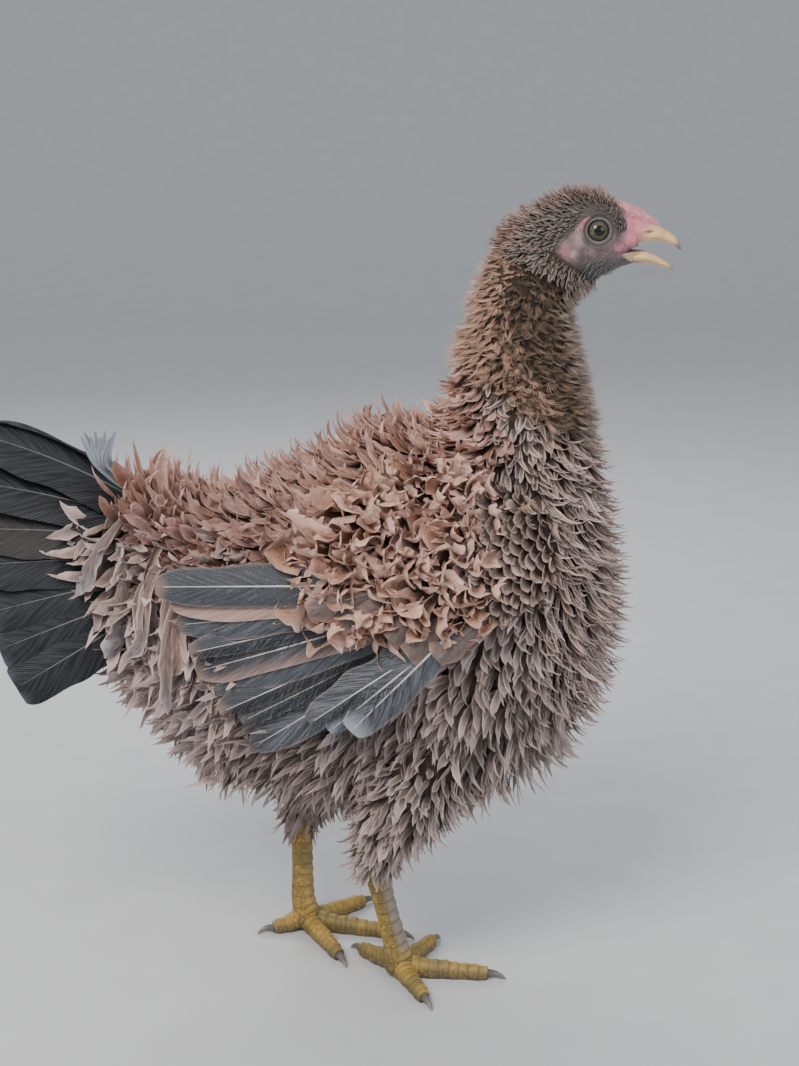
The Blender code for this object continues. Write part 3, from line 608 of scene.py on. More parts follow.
def feather_kind(name, peak, drift, foot, sharp, rings, **cut):
    """Like feathers, whose widest place drifts from one to the next."""
    group = shapes(name)
    for variant in range(VARIANTS):
        widest = peak + drift * variant
        feather_shape(group, lambda t: spindle(t, widest, foot, sharp), rings, **cut)
    return group


flames = feather_kind(
    "flames", 0.4, 0.06, 0.3, 1.0, (0, 0.14, 0.28, 0.41, 0.54, 0.66, 0.77, 0.87, 0.95),
    bite=0.22, push=0.04, uneven=0.22,
)
strands = feather_kind(
    "strands", 0.3, 0.05, 0.4, 1.1, (0, 0.15, 0.3, 0.45, 0.6, 0.73, 0.85, 0.94),
    bite=0.25, push=0.05, uneven=0.16,
)
petals = feather_kind(
    "petals", 0.6, 0.0, 0.25, 0.42, (0, 0.18, 0.35, 0.5, 0.64, 0.76, 0.86, 0.95),
    columns=5, bite=0.10, push=0.03, uneven=0.10,
)
leaves = feather_kind(
    "leaves", 0.55, 0.05, 0.2, 0.6, (0, 0.14, 0.28, 0.41, 0.53, 0.64, 0.74, 0.83, 0.91, 0.97),
    columns=7, bite=0.2, push=0.03, uneven=0.16,
)
wisps = shapes("wisps")
for variant in range(VARIANTS):
    wisp_shape(wisps, strands=7, spread=0.85, seed=variant)

MEASURES = (
    "Spacing", "Thickness", "Cup", "Hook", "Sway", "Crumple", "Spin", "Unevenness", "Twist", "Sink",
    "Patch",
)
COAT_INPUTS = {
    "Shapes": "Collection", **dict.fromkeys(MEASURES, "Float"), "Seed": "Int", "Finish": "Material",
}
coat_tree = bpy.data.node_groups.new("feather_coat", "GeometryNodeTree")
coat_tree.interface.new_socket("Geometry", in_out="INPUT", socket_type="NodeSocketGeometry")
coat_inputs = {
    name: coat_tree.interface.new_socket(
        name, in_out="INPUT", socket_type=f"NodeSocket{kind}"
    ).identifier
    for name, kind in COAT_INPUTS.items()
}
coat_tree.interface.new_socket("Geometry", in_out="OUTPUT", socket_type="NodeSocketGeometry")
given = coat_tree.nodes.new("NodeGroupInput")
wire = Wire(coat_tree)


def asked(name):
    return Wire(coat_tree, given.outputs[name])


def noted(name, kind="FLOAT"):
    settings = {"data_type": kind}
    return wire.node("GeometryNodeInputNamedAttribute", settings, {"Name": name})


def note(geometry, name, value, kind="FLOAT", domain="POINT"):
    """Keeps a value on the geometry under a name."""
    settings = {"data_type": kind, "domain": domain}
    feeds = {"Geometry": geometry, "Name": name, "Value": value}
    return wire.node("GeometryNodeStoreNamedAttribute", settings, feeds)


def drawn(low, high, number):
    """A random value for each root."""
    feeds = {2: low, 3: high, "Seed": asked("Seed") + number}
    return wire.node("FunctionNodeRandomValue", {"data_type": "FLOAT"}, feeds, 1)


def joined(x, y, z=0.0):
    return wire.node("ShaderNodeCombineXYZ", {}, {0: x, 1: y, 2: z})


def direction(name):
    return wire.vector("NORMALIZE", noted(name, "FLOAT_VECTOR"))


def swung(first, second, angle):
    """One direction turned towards another."""
    near, far = wire.math("COSINE", angle), wire.math("SINE", angle)
    return wire.vector("ADD", first.scaled(near), second.scaled(far))


spread = asked("Unevenness")
roots = wire.node(
    "GeometryNodeDistributePointsOnFaces", {"distribute_method": "POISSON"},
    {
        "Mesh": asked("Geometry"), "Distance Min": asked("Spacing"), "Density Max": 4e6,
        "Density Factor": noted("growth"), "Seed": asked("Seed"),
    },
)
for name, number, low in (("luck", 1, 0), ("bend", 2, -1), ("turned", 3, -1)):
    roots = note(roots, name, drawn(low, 1, number))
for name, number in (("long", 5), ("wide", 6), ("curl", 7)):
    roots = note(roots, name, noted(name) * drawn(1 - spread, 1 + spread, number))
spin = drawn(-1.0, 1.0, 8) * asked("Spin")
out, lie = direction("out"), direction("lie")
turned = swung(lie, wire.vector("CROSS_PRODUCT", out, lie), spin)
roots = note(roots, "lie", turned, "FLOAT_VECTOR")
ground = wire.node("GeometryNodeInputPosition")
sunk = ground.vector("SUBTRACT", ground, out.scaled(asked("Sink")))
roots = note(roots, "root", sunk, "FLOAT_VECTOR")
choice = wire.node(
    "GeometryNodeCollectionInfo", {}, {"Collection": asked("Shapes"), "Separate Children": True}
)
number_of = wire.node(
    "FunctionNodeRandomValue", {"data_type": "INT"},
    {4: 0, 5: VARIANTS - 1, "Seed": asked("Seed")}, 2,
)
copies = wire.node(
    "GeometryNodeInstanceOnPoints", {},
    {"Points": roots, "Instance": choice, "Pick Instance": True, "Instance Index": number_of},
)
feathers = wire.node("GeometryNodeRealizeInstances", {}, {"Geometry": copies})

# Each feather is a curve of three angles, from its rise at the root to its curl.
along, across, ridge = noted("along"), noted("across"), noted("ridge")
out, lie = direction("out"), direction("lie")
beside = wire.vector("CROSS_PRODUCT", lie, out)
back = 1 - along
length, rise, curl = noted("long"), noted("rise"), noted("curl")
angles = (rise, rise + (curl - rise) * asked("Hook"), curl)
reached = ((1 - back ** 3) / 3.0, along * along * (3 - along * 2) / 3.0, along ** 3 / 3.0)
heading = (back * back, along * back * 2.0, along * along)
forward = length * sum(wire.math("COSINE", a) * part for a, part in zip(angles, reached))
upward = length * sum(wire.math("SINE", a) * part for a, part in zip(angles, reached))
ahead = sum(wire.math("COSINE", a) * part for a, part in zip(angles, heading))
above = sum(wire.math("SINE", a) * part for a, part in zip(angles, heading))
upright = wire.vector(
    "NORMALIZE", wire.vector("SUBTRACT", out.scaled(ahead), lie.scaled(above))
)
twist = noted("turned") * asked("Twist") * along
flat = swung(beside, upright, twist)
proud = swung(upright, beside, twist * -1)
half = noted("wide") * 0.5
sideways = noted("bend") * length * along * along * asked("Sway")
crease = wire.node("ShaderNodeTexNoise", {}, {
    "Vector": joined(across * 0.9, along * 2.4, noted("luck") * 60), "Scale": 1.0, "Detail": 1.5,
}, "Color")
crease = wire.vector("SUBTRACT", crease, (0.5, 0.5, 0.5))
height = ridge * asked("Thickness") + across * across * half * asked("Cup")
spot = noted("root", "FLOAT_VECTOR")
for step in (
    lie.scaled(forward), out.scaled(upward), flat.scaled(across * half),
    beside.scaled(sideways), proud.scaled(height),
    crease.scaled(half * asked("Crumple") * along),
):
    spot = spot.vector("ADD", spot, step)
feathers = wire.node("GeometryNodeSetPosition", {}, {"Geometry": feathers, "Position": spot})
unwrap = noted("unwrap", "FLOAT_VECTOR")
patch = joined(across * asked("Patch") * 0.5, (along - 0.5) * asked("Patch"))
feathers = note(feathers, "OFBake", unwrap.vector("ADD", unwrap, patch), "FLOAT2", "CORNER")
feathers = wire.node(
    "GeometryNodeSetMaterial", {}, {"Geometry": feathers, "Material": asked("Finish")}
)
result = coat_tree.nodes.new("NodeGroupOutput")
coat_tree.links.new(feathers.socket, result.inputs[0])

KEPT = ("along", "ridge", "luck", "OFBake", "position", "sharp_edge", "material_index")
PATCH = 0.003  # breadth of one feather's own place on the coat's map
USUAL_SHAPE = {
    "Shapes": flames, "Thickness": 0.0002, "Cup": 0.0, "Hook": 0.5, "Sway": 0.15, "Crumple": 0.3,
    "Unevenness": 0.2, "Twist": 0.5, "Sink": 0.0015, "Patch": PATCH,
}


def grow(name, points, middle, lie, growth, look, material, slot, replaced=(), **shape):
    """A coat piece from a patch of hide that faces away from its middle.

    points is a grid in body measures, lie the way its feathers lie and growth
    how thickly they stand. look holds long and wide in millimetres and rise and
    curl in degrees, and shape the tree's other inputs.
    """
    rows, columns = points.shape[:2]
    out = unit(np.cross(np.gradient(points, axis=0), np.gradient(points, axis=1)), 1e-12)
    out *= np.sign((out * (points - middle)).sum(-1).mean())
    lie = unit(lie - out * (lie * out).sum(-1, keepdims=True), 1e-12)
    faces = [
        (i * columns + k, i * columns + k + 1, (i + 1) * columns + k + 1, (i + 1) * columns + k)
        for i in range(rows - 1) for k in range(columns - 1)
    ]
    mesh = bpy.data.meshes.new(name)
    mesh.from_pydata(in_frame(points).reshape(-1, 3).tolist(), [], faces)
    u, v = grid_of(np.linspace(0.01, 0.99, rows), np.linspace(0.01, 0.99, columns))
    vectors = {"out": out, "lie": lie, "unwrap": np.stack([u, v, 0 * u], -1)}
    numbers = {
        "growth": growth, "long": look["long"] * MM, "wide": look["wide"] * MM,
        "rise": np.radians(look["rise"]), "curl": np.radians(look["curl"]),
    }
    for key, value in vectors.items():
        kept = mesh.attributes.new(key, "FLOAT_VECTOR", "POINT")
        kept.data.foreach_set("vector", value.astype(np.float32).ravel())
    for key, value in numbers.items():
        mark(mesh, key, np.broadcast_to(value, (rows, columns)))
    coat = placed(name, mesh)
    step = coat.modifiers.new("feathers", "NODES")
    step.node_group = coat_tree
    for key, value in {**USUAL_SHAPE, "Finish": material, **shape}.items():
        step[coat_inputs[key]] = value
    settle(coat)
    for kept in [kept.name for kept in coat.data.attributes]:
        if kept not in KEPT and not kept.startswith("."):
            coat.data.attributes.remove(coat.data.attributes[kept])
    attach(coat, "root")
    if replaced:
        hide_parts(*replaced)
    return coat


def plumage(
    name, shaded_foot, main, other, tip, edge, tipped=0.7, edged=0.6, gloss=0.62, vein=0.15, under=0.25,
):
    """Feather colours: a foot darkened as painted shade under the coat, main and other over the
    body, pale tip and edge.
    """
    made, wire, inputs = finish(name, roughness=gloss, specular=0.3, sheen=0.12)
    along, ridge, luck = (wire.reading(key) for key in ("along", "ridge", "luck"))
    rim = 1 - ridge.math("ABSOLUTE", ridge)
    broad, fine = markings(wire)
    blend = (broad * 0.6 + luck * 0.5).ramp(0.25, 0.8)
    colour = wire.mix(main, other, blend)
    colour = wire.mix(colour, edge, rim.ramp(0.35, 0.95) * along.ramp(0.15, 0.7) * edged)
    colour = wire.mix(colour, tip, (along + luck * 0.2).ramp(0.55, 1.1) * tipped)
    colour = wire.mix(colour, edge, ridge.ramp(-0.05, -0.4) * under)
    # The feather's foot, covered by the coat, is darkened as painted shade.
    colour = wire.mix(shaded_foot, colour, (along + luck * 0.15).ramp(0.08, 0.62))
    grain = wire.grain(along * 26 + rim * 7, luck * 50, rim * 1.5, detail=2)
    line = wire.math("SINE", (along * 15 + rim * 4 + grain * 0.6) * math.tau) * 0.5 + 0.5
    worn = luck * 0.38 + 0.58 + line * 0.12 + grain.ramp(0.25, 0.75) * 0.46 - fine * 0.12
    quill = ridge.ramp(0.86, 1.0) * vein * along.ramp(0.95, 0.4)
    feed(
        inputs, Base_Color=colour.shade(worn + quill),
        Normal=bumped(line * 0.5 + grain, 0.45, 0.0004),
    )
    return made


def backwards(place, turn, droop):
    """The lie of the coat on the body: towards the tail, and down by the droop."""
    step = 0.05
    lie = unit(on_body(place - step, turn) - on_body(place + step, turn))
    lie[..., 2] -= droop
    return lie


def core(place):
    """The middle of the body's rings."""
    return (on_body(place, 0 * place, 0) + on_body(place, 0 * place + math.pi, 0)) / 2


def climb(rise, curl, hook):
    """How far a curled feather stands up for each unit of its length."""
    angles = np.radians([rise, rise + (curl - rise) * hook, curl])
    return np.sin(angles).mean()


def body_coat(
    name, places, turns, look, droop, material, slot="body_plumage", growth=None, **more
):
    """A coat piece between two places and two turns of the body's rings.

    Each of its feathers is as long as it takes to rise through the coat.
    """
    place, turn = grid_of(np.linspace(*places, 48), np.linspace(*turns, 64))
    points = on_body(place, turn)
    coat_depth = rows_at(BODY, place)[..., 5]
    height = climb(look["rise"], look["curl"], more.get("Hook", 0.5))
    long = coat_depth * SKIN_DEPTH / height * look.get("reach", 1.0)
    look = {**look, "long": np.maximum(long, look.get("least", 2.0))}
    growth = np.ones_like(place) if growth is None else growth(place, turn, points)
    lie = backwards(place, turn, droop)
    return grow(name, points, core(place), lie, growth, look, material, slot, **more)


# Saddle and cape: rust and salmon flames that stand up in a ruff along the back,
# rooted from the tail to the foot of the neck and curled over forwards.
rust = plumage(
    "rust_plumage", (0.060, 0.032, 0.022), (0.440, 0.225, 0.155), (0.420, 0.260, 0.225),
    (0.680, 0.430, 0.350), (0.680, 0.460, 0.390),
)


WING_OUTLINE = np.array([  # where the folded wing lies over the side, x and z
    (34, 222), (-20, 214), (-104, 200), (-108, 186), (-96, 150), (-80, 124), (-62, 116),
    (-20, 122), (30, 160),
])


def beside_wing(place, turn, points):
    """Full growth but for the hide under the folded wing."""
    return 1 - soft_step(depth_inside(points[..., (0, 2)], WING_OUTLINE), 4, 11)


def fading(value, low, high, soft):
    """Growth that is full between low and high and thins out softly past them."""
    fallen = soft_step(value, high - soft, high + soft)
    return soft_step(value, low - soft, low + soft) * (1 - fallen)


body_coat(
    "saddle_feathers", (2.1, 8.3), (-1.15, 1.15),
    {"wide": 4.4, "rise": 14.0, "curl": 110.0, "reach": 1.15}, 0.3, rust,
    Seed=11, Spacing=0.0030, Cup=0.35, Hook=0.3, Sway=0.4, Crumple=0.9, Spin=0.5, Twist=1.0,
    Unevenness=0.32,
)
body_coat(
    "cape_feathers", (8.0, 13.3), (-1.3, 1.3),
    {"wide": 4.2, "rise": 18.0, "curl": 112.0, "reach": 1.1}, 0.0, rust,
    growth=lambda place, turn, points:
        fading(place, 7.8, 12.6, 0.5) * fading(turn, -1.15, 1.15, 0.15),
    Seed=12, Spacing=0.0027, Cup=0.35, Hook=0.32, Sway=0.4, Crumple=0.9, Spin=0.6, Twist=1.2,
    Unevenness=0.32,
)

# Flanks: softer lilac-brown feathers, rooted from the back down to the belly and
# mostly hidden by the folded wing.
dusk = plumage(
    "dusk_plumage", (0.034, 0.024, 0.018), (0.185, 0.134, 0.106), (0.165, 0.132, 0.122),
    (0.500, 0.385, 0.350), (0.560, 0.450, 0.422), edged=0.85,
)
for name, side in SIDES.items():
    body_coat(
        f"flank_feathers_{name}", (2.1, 9.6), (0.95 * side, 2.15 * side),
        {"wide": 4.6, "rise": 10.0, "curl": 84.0}, 0.35, dusk, growth=beside_wing,
        Seed=20 + side, Spacing=0.0037, Hook=0.3, Sway=0.25, Crumple=0.4, Spin=0.4,
    )

# Belly: lilac petals that curl out at their ends, over brown-grey fluff of loose
# barbs that grows between their roots.
body_coat(
    "belly_feathers", (2.1, 9.6), (2.12, 4.163),
    {"wide": 3.9, "rise": 8.0, "curl": 84.0, "reach": 1.15}, 0.5, dusk,
    Seed=31, Spacing=0.0036, Cup=0.3, Hook=0.2, Sway=0.4, Crumple=1.0, Spin=0.65, Twist=1.2,
    Unevenness=0.34,
)
fluff = plumage(
    "brown_fluff", (0.045, 0.033, 0.026), (0.170, 0.125, 0.100), (0.130, 0.105, 0.092),
    (0.300, 0.235, 0.210), (0.260, 0.205, 0.185), vein=0.0,
)
body_coat(
    "belly_fluff", (1.2, 9.3), (2.0, 4.283), {"wide": 6.0, "rise": 16.0, "curl": 74.0}, 0.5, fluff,
    Seed=32, Spacing=0.0038, Shapes=wisps, Hook=0.4, Sway=0.3, Crumple=0.8, Spin=0.6,
    Unevenness=0.3,
)

# Breast: long narrow strands, dark in the middle and cream-pink at the edges,
# that sweep down and curl out at their ends.
breast_finish = plumage(
    "breast_plumage", (0.022, 0.015, 0.011), (0.145, 0.094, 0.066), (0.115, 0.086, 0.074),
    (0.620, 0.452, 0.395), (0.700, 0.550, 0.512), edged=1.0, tipped=0.6, vein=-0.15,
)
BREAST_EDGE = 1.02  # radians from the top of the rings


def breast_growth(place, turn, points):
    lengthways = soft_step(place, 9.2, 9.9) * (1 - soft_step(place, 13.1, 13.8))
    return lengthways * fading(turn, BREAST_EDGE, math.tau - BREAST_EDGE, 0.15)


body_coat(
    "breast_feathers", (9.3, 13.9), (0.8, math.tau - 0.8),
    {"wide": 3.4, "rise": 6.0, "curl": 92.0}, 0.35, breast_finish, growth=breast_growth,
    Seed=41, Spacing=0.0028, Shapes=strands, Cup=0.35, Hook=0.14, Sway=0.4, Crumple=0.8,
    Spin=0.42, Twist=1.0, Unevenness=0.3,
)

# Neck: a dense brush of short frayed curls, salmon-tan up the nape, dark
# olive-brown at the sides and pinkish in front.
NECK_TURNS = {  # the turns it reaches and fills, its rise and curl, and its least length
    "nape": ((-2.1, 2.1), (-1.15, 1.15), 26.0, 86.0, 6.6),
    "side_right": ((-2.7, -0.7), (-2.35, -1.15), 30.0, 100.0, 4.8),
    "side_left": ((0.7, 2.7), (1.15, 2.35), 30.0, 100.0, 4.8),
    "front": ((2.0, 4.283), (2.35, 3.933), 46.0, 96.0, 8.6),
}
NECK_COLOURS = {
    "nape": ((0.110, 0.064, 0.044), (0.560, 0.330, 0.225), (0.440, 0.280, 0.200),
             (0.800, 0.550, 0.430), (0.720, 0.500, 0.390)),
    "side": ((0.024, 0.016, 0.010), (0.130, 0.084, 0.048), (0.165, 0.108, 0.065),
             (0.420, 0.290, 0.200), (0.290, 0.200, 0.135)),
    "front": ((0.056, 0.040, 0.030), (0.330, 0.235, 0.185), (0.265, 0.190, 0.150),
              (0.560, 0.410, 0.350), (0.460, 0.345, 0.300)),
}


def neck_growth(key, full, place, turn):
    """The nape's paler feathers spread round the neck, more towards its foot."""
    spread = 0.75 * (1 - soft_step(place, 13.2, 16.2)) * (key == "nape")
    round_neck = fading(turn, full[0] - spread, full[1] + spread, 0.25)
    return round_neck * fading(place, 13.0, 18.4, 0.4)


neck_finishes = {
    key: plumage(f"neck_{key}_plumage", *colours, vein=0.05)
    for key, colours in NECK_COLOURS.items()
}
for number, (key, (turns, full, rise, curl, least)) in enumerate(NECK_TURNS.items()):
    body_coat(
        f"neck_{key}_feathers", (12.5, 19.5), turns,
        {"wide": 5.0, "rise": rise, "curl": curl, "least": least}, 0.0,
        neck_finishes[key.split("_")[0]], slot="neck_plumage",
        growth=lambda place, turn, points: neck_growth(key, full, place, turn),
        Seed=51 + number, Spacing=0.0018, Shapes=wisps, Cup=0.3, Hook=0.4, Sway=0.35,
        Crumple=0.8, Spin=0.75, Twist=1.2, Unevenness=0.32,
    )

# The wings' coverts: a rosette of cupped, dried-leaf petals over each
# folded arm, small as scales at the shoulder and large and loose behind.
leaf = plumage(
    "leaf_plumage", (0.035, 0.017, 0.010), (0.400, 0.195, 0.118), (0.320, 0.190, 0.145),
    (0.680, 0.440, 0.345), (0.740, 0.510, 0.430), tipped=0.5, edged=0.6, under=0.35, vein=-0.2,
)
scale = plumage(
    "scale_plumage", (0.036, 0.025, 0.019), (0.165, 0.108, 0.082), (0.140, 0.100, 0.084),
    (0.500, 0.360, 0.315), (0.440, 0.305, 0.260), tipped=0.9, edged=0.6, vein=0.05,
)
COVERT_LIE = (-1, 0, -0.40)
WING_FRONT, WING_RUN = 62, 90  # x of the foremost petals, and how far back they still grow


def on_arm(side, polar_end, rings):
    """Points over a folded arm, and how far behind the shoulder each lies, 0 to 1."""
    polar, turn = grid_of(np.linspace(0.03, polar_end, rings), np.linspace(0, math.tau, 90))
    points = wing_points(polar, turn, side)
    return points, np.clip((WING_FRONT - points[..., 0]) / WING_RUN, 0, 1)


for name, side in SIDES.items():
    middle = np.array(WING_CENTRE) * (1, side, 1)
    points, behind = on_arm(side, 1.46, 44)
    look = {"long": 11 + 11 * behind, "wide": 8.0 + 6.0 * behind}
    look.update({"rise": 18.0, "curl": 88 + 34 * behind})
    grow(
        f"wing_coverts_{name}", points, middle, COVERT_LIE, 1 - soft_step(points[..., 0], 30, 48),
        look, leaf, "wing_feathers", (f"wing_{name}",),
        Seed=60 + side, Shapes=leaves, Spacing=0.0043, Cup=0.75, Hook=0.42, Sway=0.3,
        Crumple=1.7, Spin=0.85, Twist=1.7, Unevenness=0.34, Thickness=0.00025,
    )
    points, behind = on_arm(side, 1.8, 50)
    low = np.clip((WING_CENTRE[2] - points[..., 2]) / 30, 0, 1)
    look = {"long": 8.6 + 3 * behind, "wide": 8.2, "rise": 10.0, "curl": 52.0 + 30 * low}
    grow(
        f"shoulder_scales_{name}", points, middle, COVERT_LIE, soft_step(points[..., 0], 26, 40),
        look, scale, "wing_feathers", (f"wing_{name}",),
        Seed=64 + side, Shapes=petals, Spacing=0.0040, Cup=0.5, Hook=0.3, Sway=0.1,
        Crumple=0.35, Spin=0.22, Twist=0.3, Unevenness=0.12,
    )

# The wings' flight feathers: long stiff vanes, slate blue on ivory shafts,
# closed over one another like a fan; the hindmost are worn into loose barbs.
def vane_finish(name, streaks, skew, **look):
    """A long vane's material, with its place along and out, its luck and its streaks."""
    made, wire, inputs = finish(name, roughness=0.5, **look)
    along, across, luck = (wire.reading(key) for key in ("along", "across", "luck"))
    reach = across.math("ABSOLUTE", across)
    streak = wire.grain(along * streaks - reach * skew, luck * 40, reach * 1.5)
    return made, wire, inputs, along, reach, luck, streak


def barb_lines(along, reach, number, slant):
    """The fine even lines of a vane's barbs, from 0 to 1."""
    return along.math("SINE", (along * number - reach * slant) * math.tau) * 0.5 + 0.5


def shaft_finish(name, roughness, dull, bright):
    made, wire, inputs = finish(name, roughness=roughness)
    feed(inputs, Base_Color=wire.mix(dull, bright, wire.noise(140)))
    return made


slate, wire, inputs, along, reach, luck, streak = vane_finish(
    "slate_vanes", 46, 8, specular=0.35, sheen=0.1
)
barbs = barb_lines(along, reach, 52, 7)
across, frost = wire.reading("across"), wire.reading("frost")
dust = wire.noise(900, 3, 0.8)
cool = wire.mix((0.018, 0.022, 0.027), (0.140, 0.158, 0.182), streak.ramp(0.28, 0.76))
cool = wire.mix(cool, (0.030, 0.034, 0.040), luck.ramp(0.3, 0.9) * (1 - frost) * 0.6)
cool = wire.mix(cool, (0.330, 0.255, 0.260), dust.ramp(0.50, 0.72) * streak.ramp(0.35, 0.7) * 0.6)
salmon = wire.mix((0.300, 0.185, 0.155), (0.560, 0.380, 0.330), streak.ramp(0.25, 0.75))
tan = wire.mix((0.120, 0.088, 0.076), (0.270, 0.195, 0.170), streak.ramp(0.25, 0.75))
colour = wire.mix(cool, salmon, (across * wire.reading("warmth")).ramp(0.03, 0.55))
colour = wire.mix(colour, tan, wire.reading("mauve"))
colour = wire.mix(colour, (0.420, 0.250, 0.190), reach.ramp(0.55, 1.0) * wire.reading("mauve"))
rusty_end = along.ramp(0.92, 1.0) * (1 - frost) * luck.ramp(0.2, 0.9) * 0.7
colour = wire.mix(colour, (0.340, 0.225, 0.170), rusty_end)
colour = wire.mix(colour, (0.360, 0.400, 0.450), along.ramp(0.80, 1.0) * frost)
colour = wire.mix(colour, (0.480, 0.330, 0.280), reach.ramp(0.84, 1.0) * 0.22)
feed(
    inputs, Base_Color=colour.shade(barbs * 0.16 + 0.88),
    Normal=bumped(barbs + streak, 0.45, 0.0004),
)
ivory = shaft_finish("ivory_shafts", 0.35, (0.430, 0.400, 0.370), (0.680, 0.650, 0.610))


def vane_points(
    start, end, width, face, bow, blade, luck, ragged=0.05, cup=0.12, hook=0.0, twist=0.0,
):
    """The upper face of one long vane: grids of points, along, across and the way it faces."""
    start, end, face = (np.asarray(v, float) for v in (start, end, face))
    length = np.linalg.norm(end - start)
    run = unit(end - start)
    face = unit(face - run * face.dot(run))
    beside = np.cross(run, face)
    t, s = grid_of(np.linspace(0, 1, 60), np.linspace(-1, 1, 11))
    wave = rows_at(luck.uniform(-1, 1, (8, 2)), t[:, 0] * 7)
    edge = blade(t[:, :1]) * (1 + ragged * wave)
    half = np.where(s < 0, edge[:, :1], edge[:, 1:]) * width / 2
    turn = (twist * t)[..., None]
    across = beside * np.cos(turn) + face * np.sin(turn)
    proud = face * np.cos(turn) - beside * np.sin(turn)
    rise = bow * length * (t - t**2) * 4 + hook * length * np.clip((t - 0.55) / 0.45, 0, 1) ** 2
    spot = start + run * (t * length + np.abs(s) * half * 0.55)[..., None]
    spot = spot + across * (s * half)[..., None]
    spot = spot + face * rise[..., None] - proud * (cup * half * s**2)[..., None]
    over = np.clip((spot - end) @ run, 0, None)
    return spot - run * (over * 0.85)[..., None], t, s, proud


def ribbon_points(spine, widths, face, cup=0.3, twist=0.0, ragged=0.0, luck=None):
    """The upper face of a feather that hangs or curls along a spine."""
    spine = np.asarray(spine, float)
    last = len(spine) - 1
    place, s = grid_of(np.linspace(0, last, 44), np.linspace(-1, 1, 7))
    ahead = unit(rows_at(spine, place + 0.03) - rows_at(spine, place - 0.03))
    beside = unit(np.cross(ahead, np.asarray(face, float)))
    proud = np.cross(beside, ahead)
    turn = (twist * place / last)[..., None]
    across = beside * np.cos(turn) + proud * np.sin(turn)
    proud = proud * np.cos(turn) - beside * np.sin(turn)
    half = rows_at(np.asarray(widths, float)[:, None], place)[..., 0] / 2
    if ragged:
        edges = rows_at(luck.uniform(-1, 1, (16, 2)), place[:, 0] / last * 15)
        half = half * (1 + ragged * np.where(s < 0, edges[:, :1], edges[:, 1:]) * np.abs(s))
    spot = rows_at(spine, place) + across * (s * half)[..., None]
    return spot - proud * (cup * half * s**2)[..., None], place / last, s, proud


def broad_blade(t):
    """A long vane's breadth: a bare foot, even sides and a rounded end."""
    foot = np.clip(t / 0.10, 0, 1) ** 0.7 * 0.85 + 0.15
    return foot * (1 - np.clip((t - 0.62) / 0.385, 0, 1) ** 2.4) ** 0.5


def round_blade(t):
    """A short covert's breadth: a narrow foot and a full round end."""
    return np.clip(0.25 + 1.5 * t, 0, 1) * (1 - np.clip((t - 0.55) / 0.47, 0, 1) ** 2) ** 0.5


def loose_barbs(vane, count, luck, side, reach):
    """Barbs that have parted from one side of a vane, each a thin bent sliver."""
    upper, t, s, proud = vane
    rows = np.linspace(0.24, 0.97, count) * (len(upper) - 1)
    middle = rows_at(upper[:, upper.shape[1] // 2], rows)
    along = unit(upper[-1, 5] - upper[0, 5])
    across = unit((upper[20, 10] - upper[20, 0]) * side)
    slivers = []
    for place, root in zip(rows / (len(upper) - 1), middle):
        lean = luck.uniform(0.50, 0.78)
        ahead = along * math.cos(lean) + across * math.sin(lean)
        long = reach * luck.uniform(0.7, 1.1) * (1 - 0.35 * max(0, place - 0.6))
        bend = along * luck.uniform(-0.1, 0.35) + proud[0, 0] * luck.uniform(-0.25, 0.15)
        spine = [root + ahead * long * u + bend * long * u * u * 0.5 for u in (0, 0.35, 0.7, 1)]
        rings, turn = grid_of(np.linspace(0, 3, 8), around(5))
        radii = [(0.42, 0.16), (0.40, 0.15), (0.28, 0.12), (0.05, 0.04)]
        slivers.append((tube_points(spine, radii, turn, rings), place, rings / 3 * side))
    return slivers


VANE_THICKNESS = 0.45


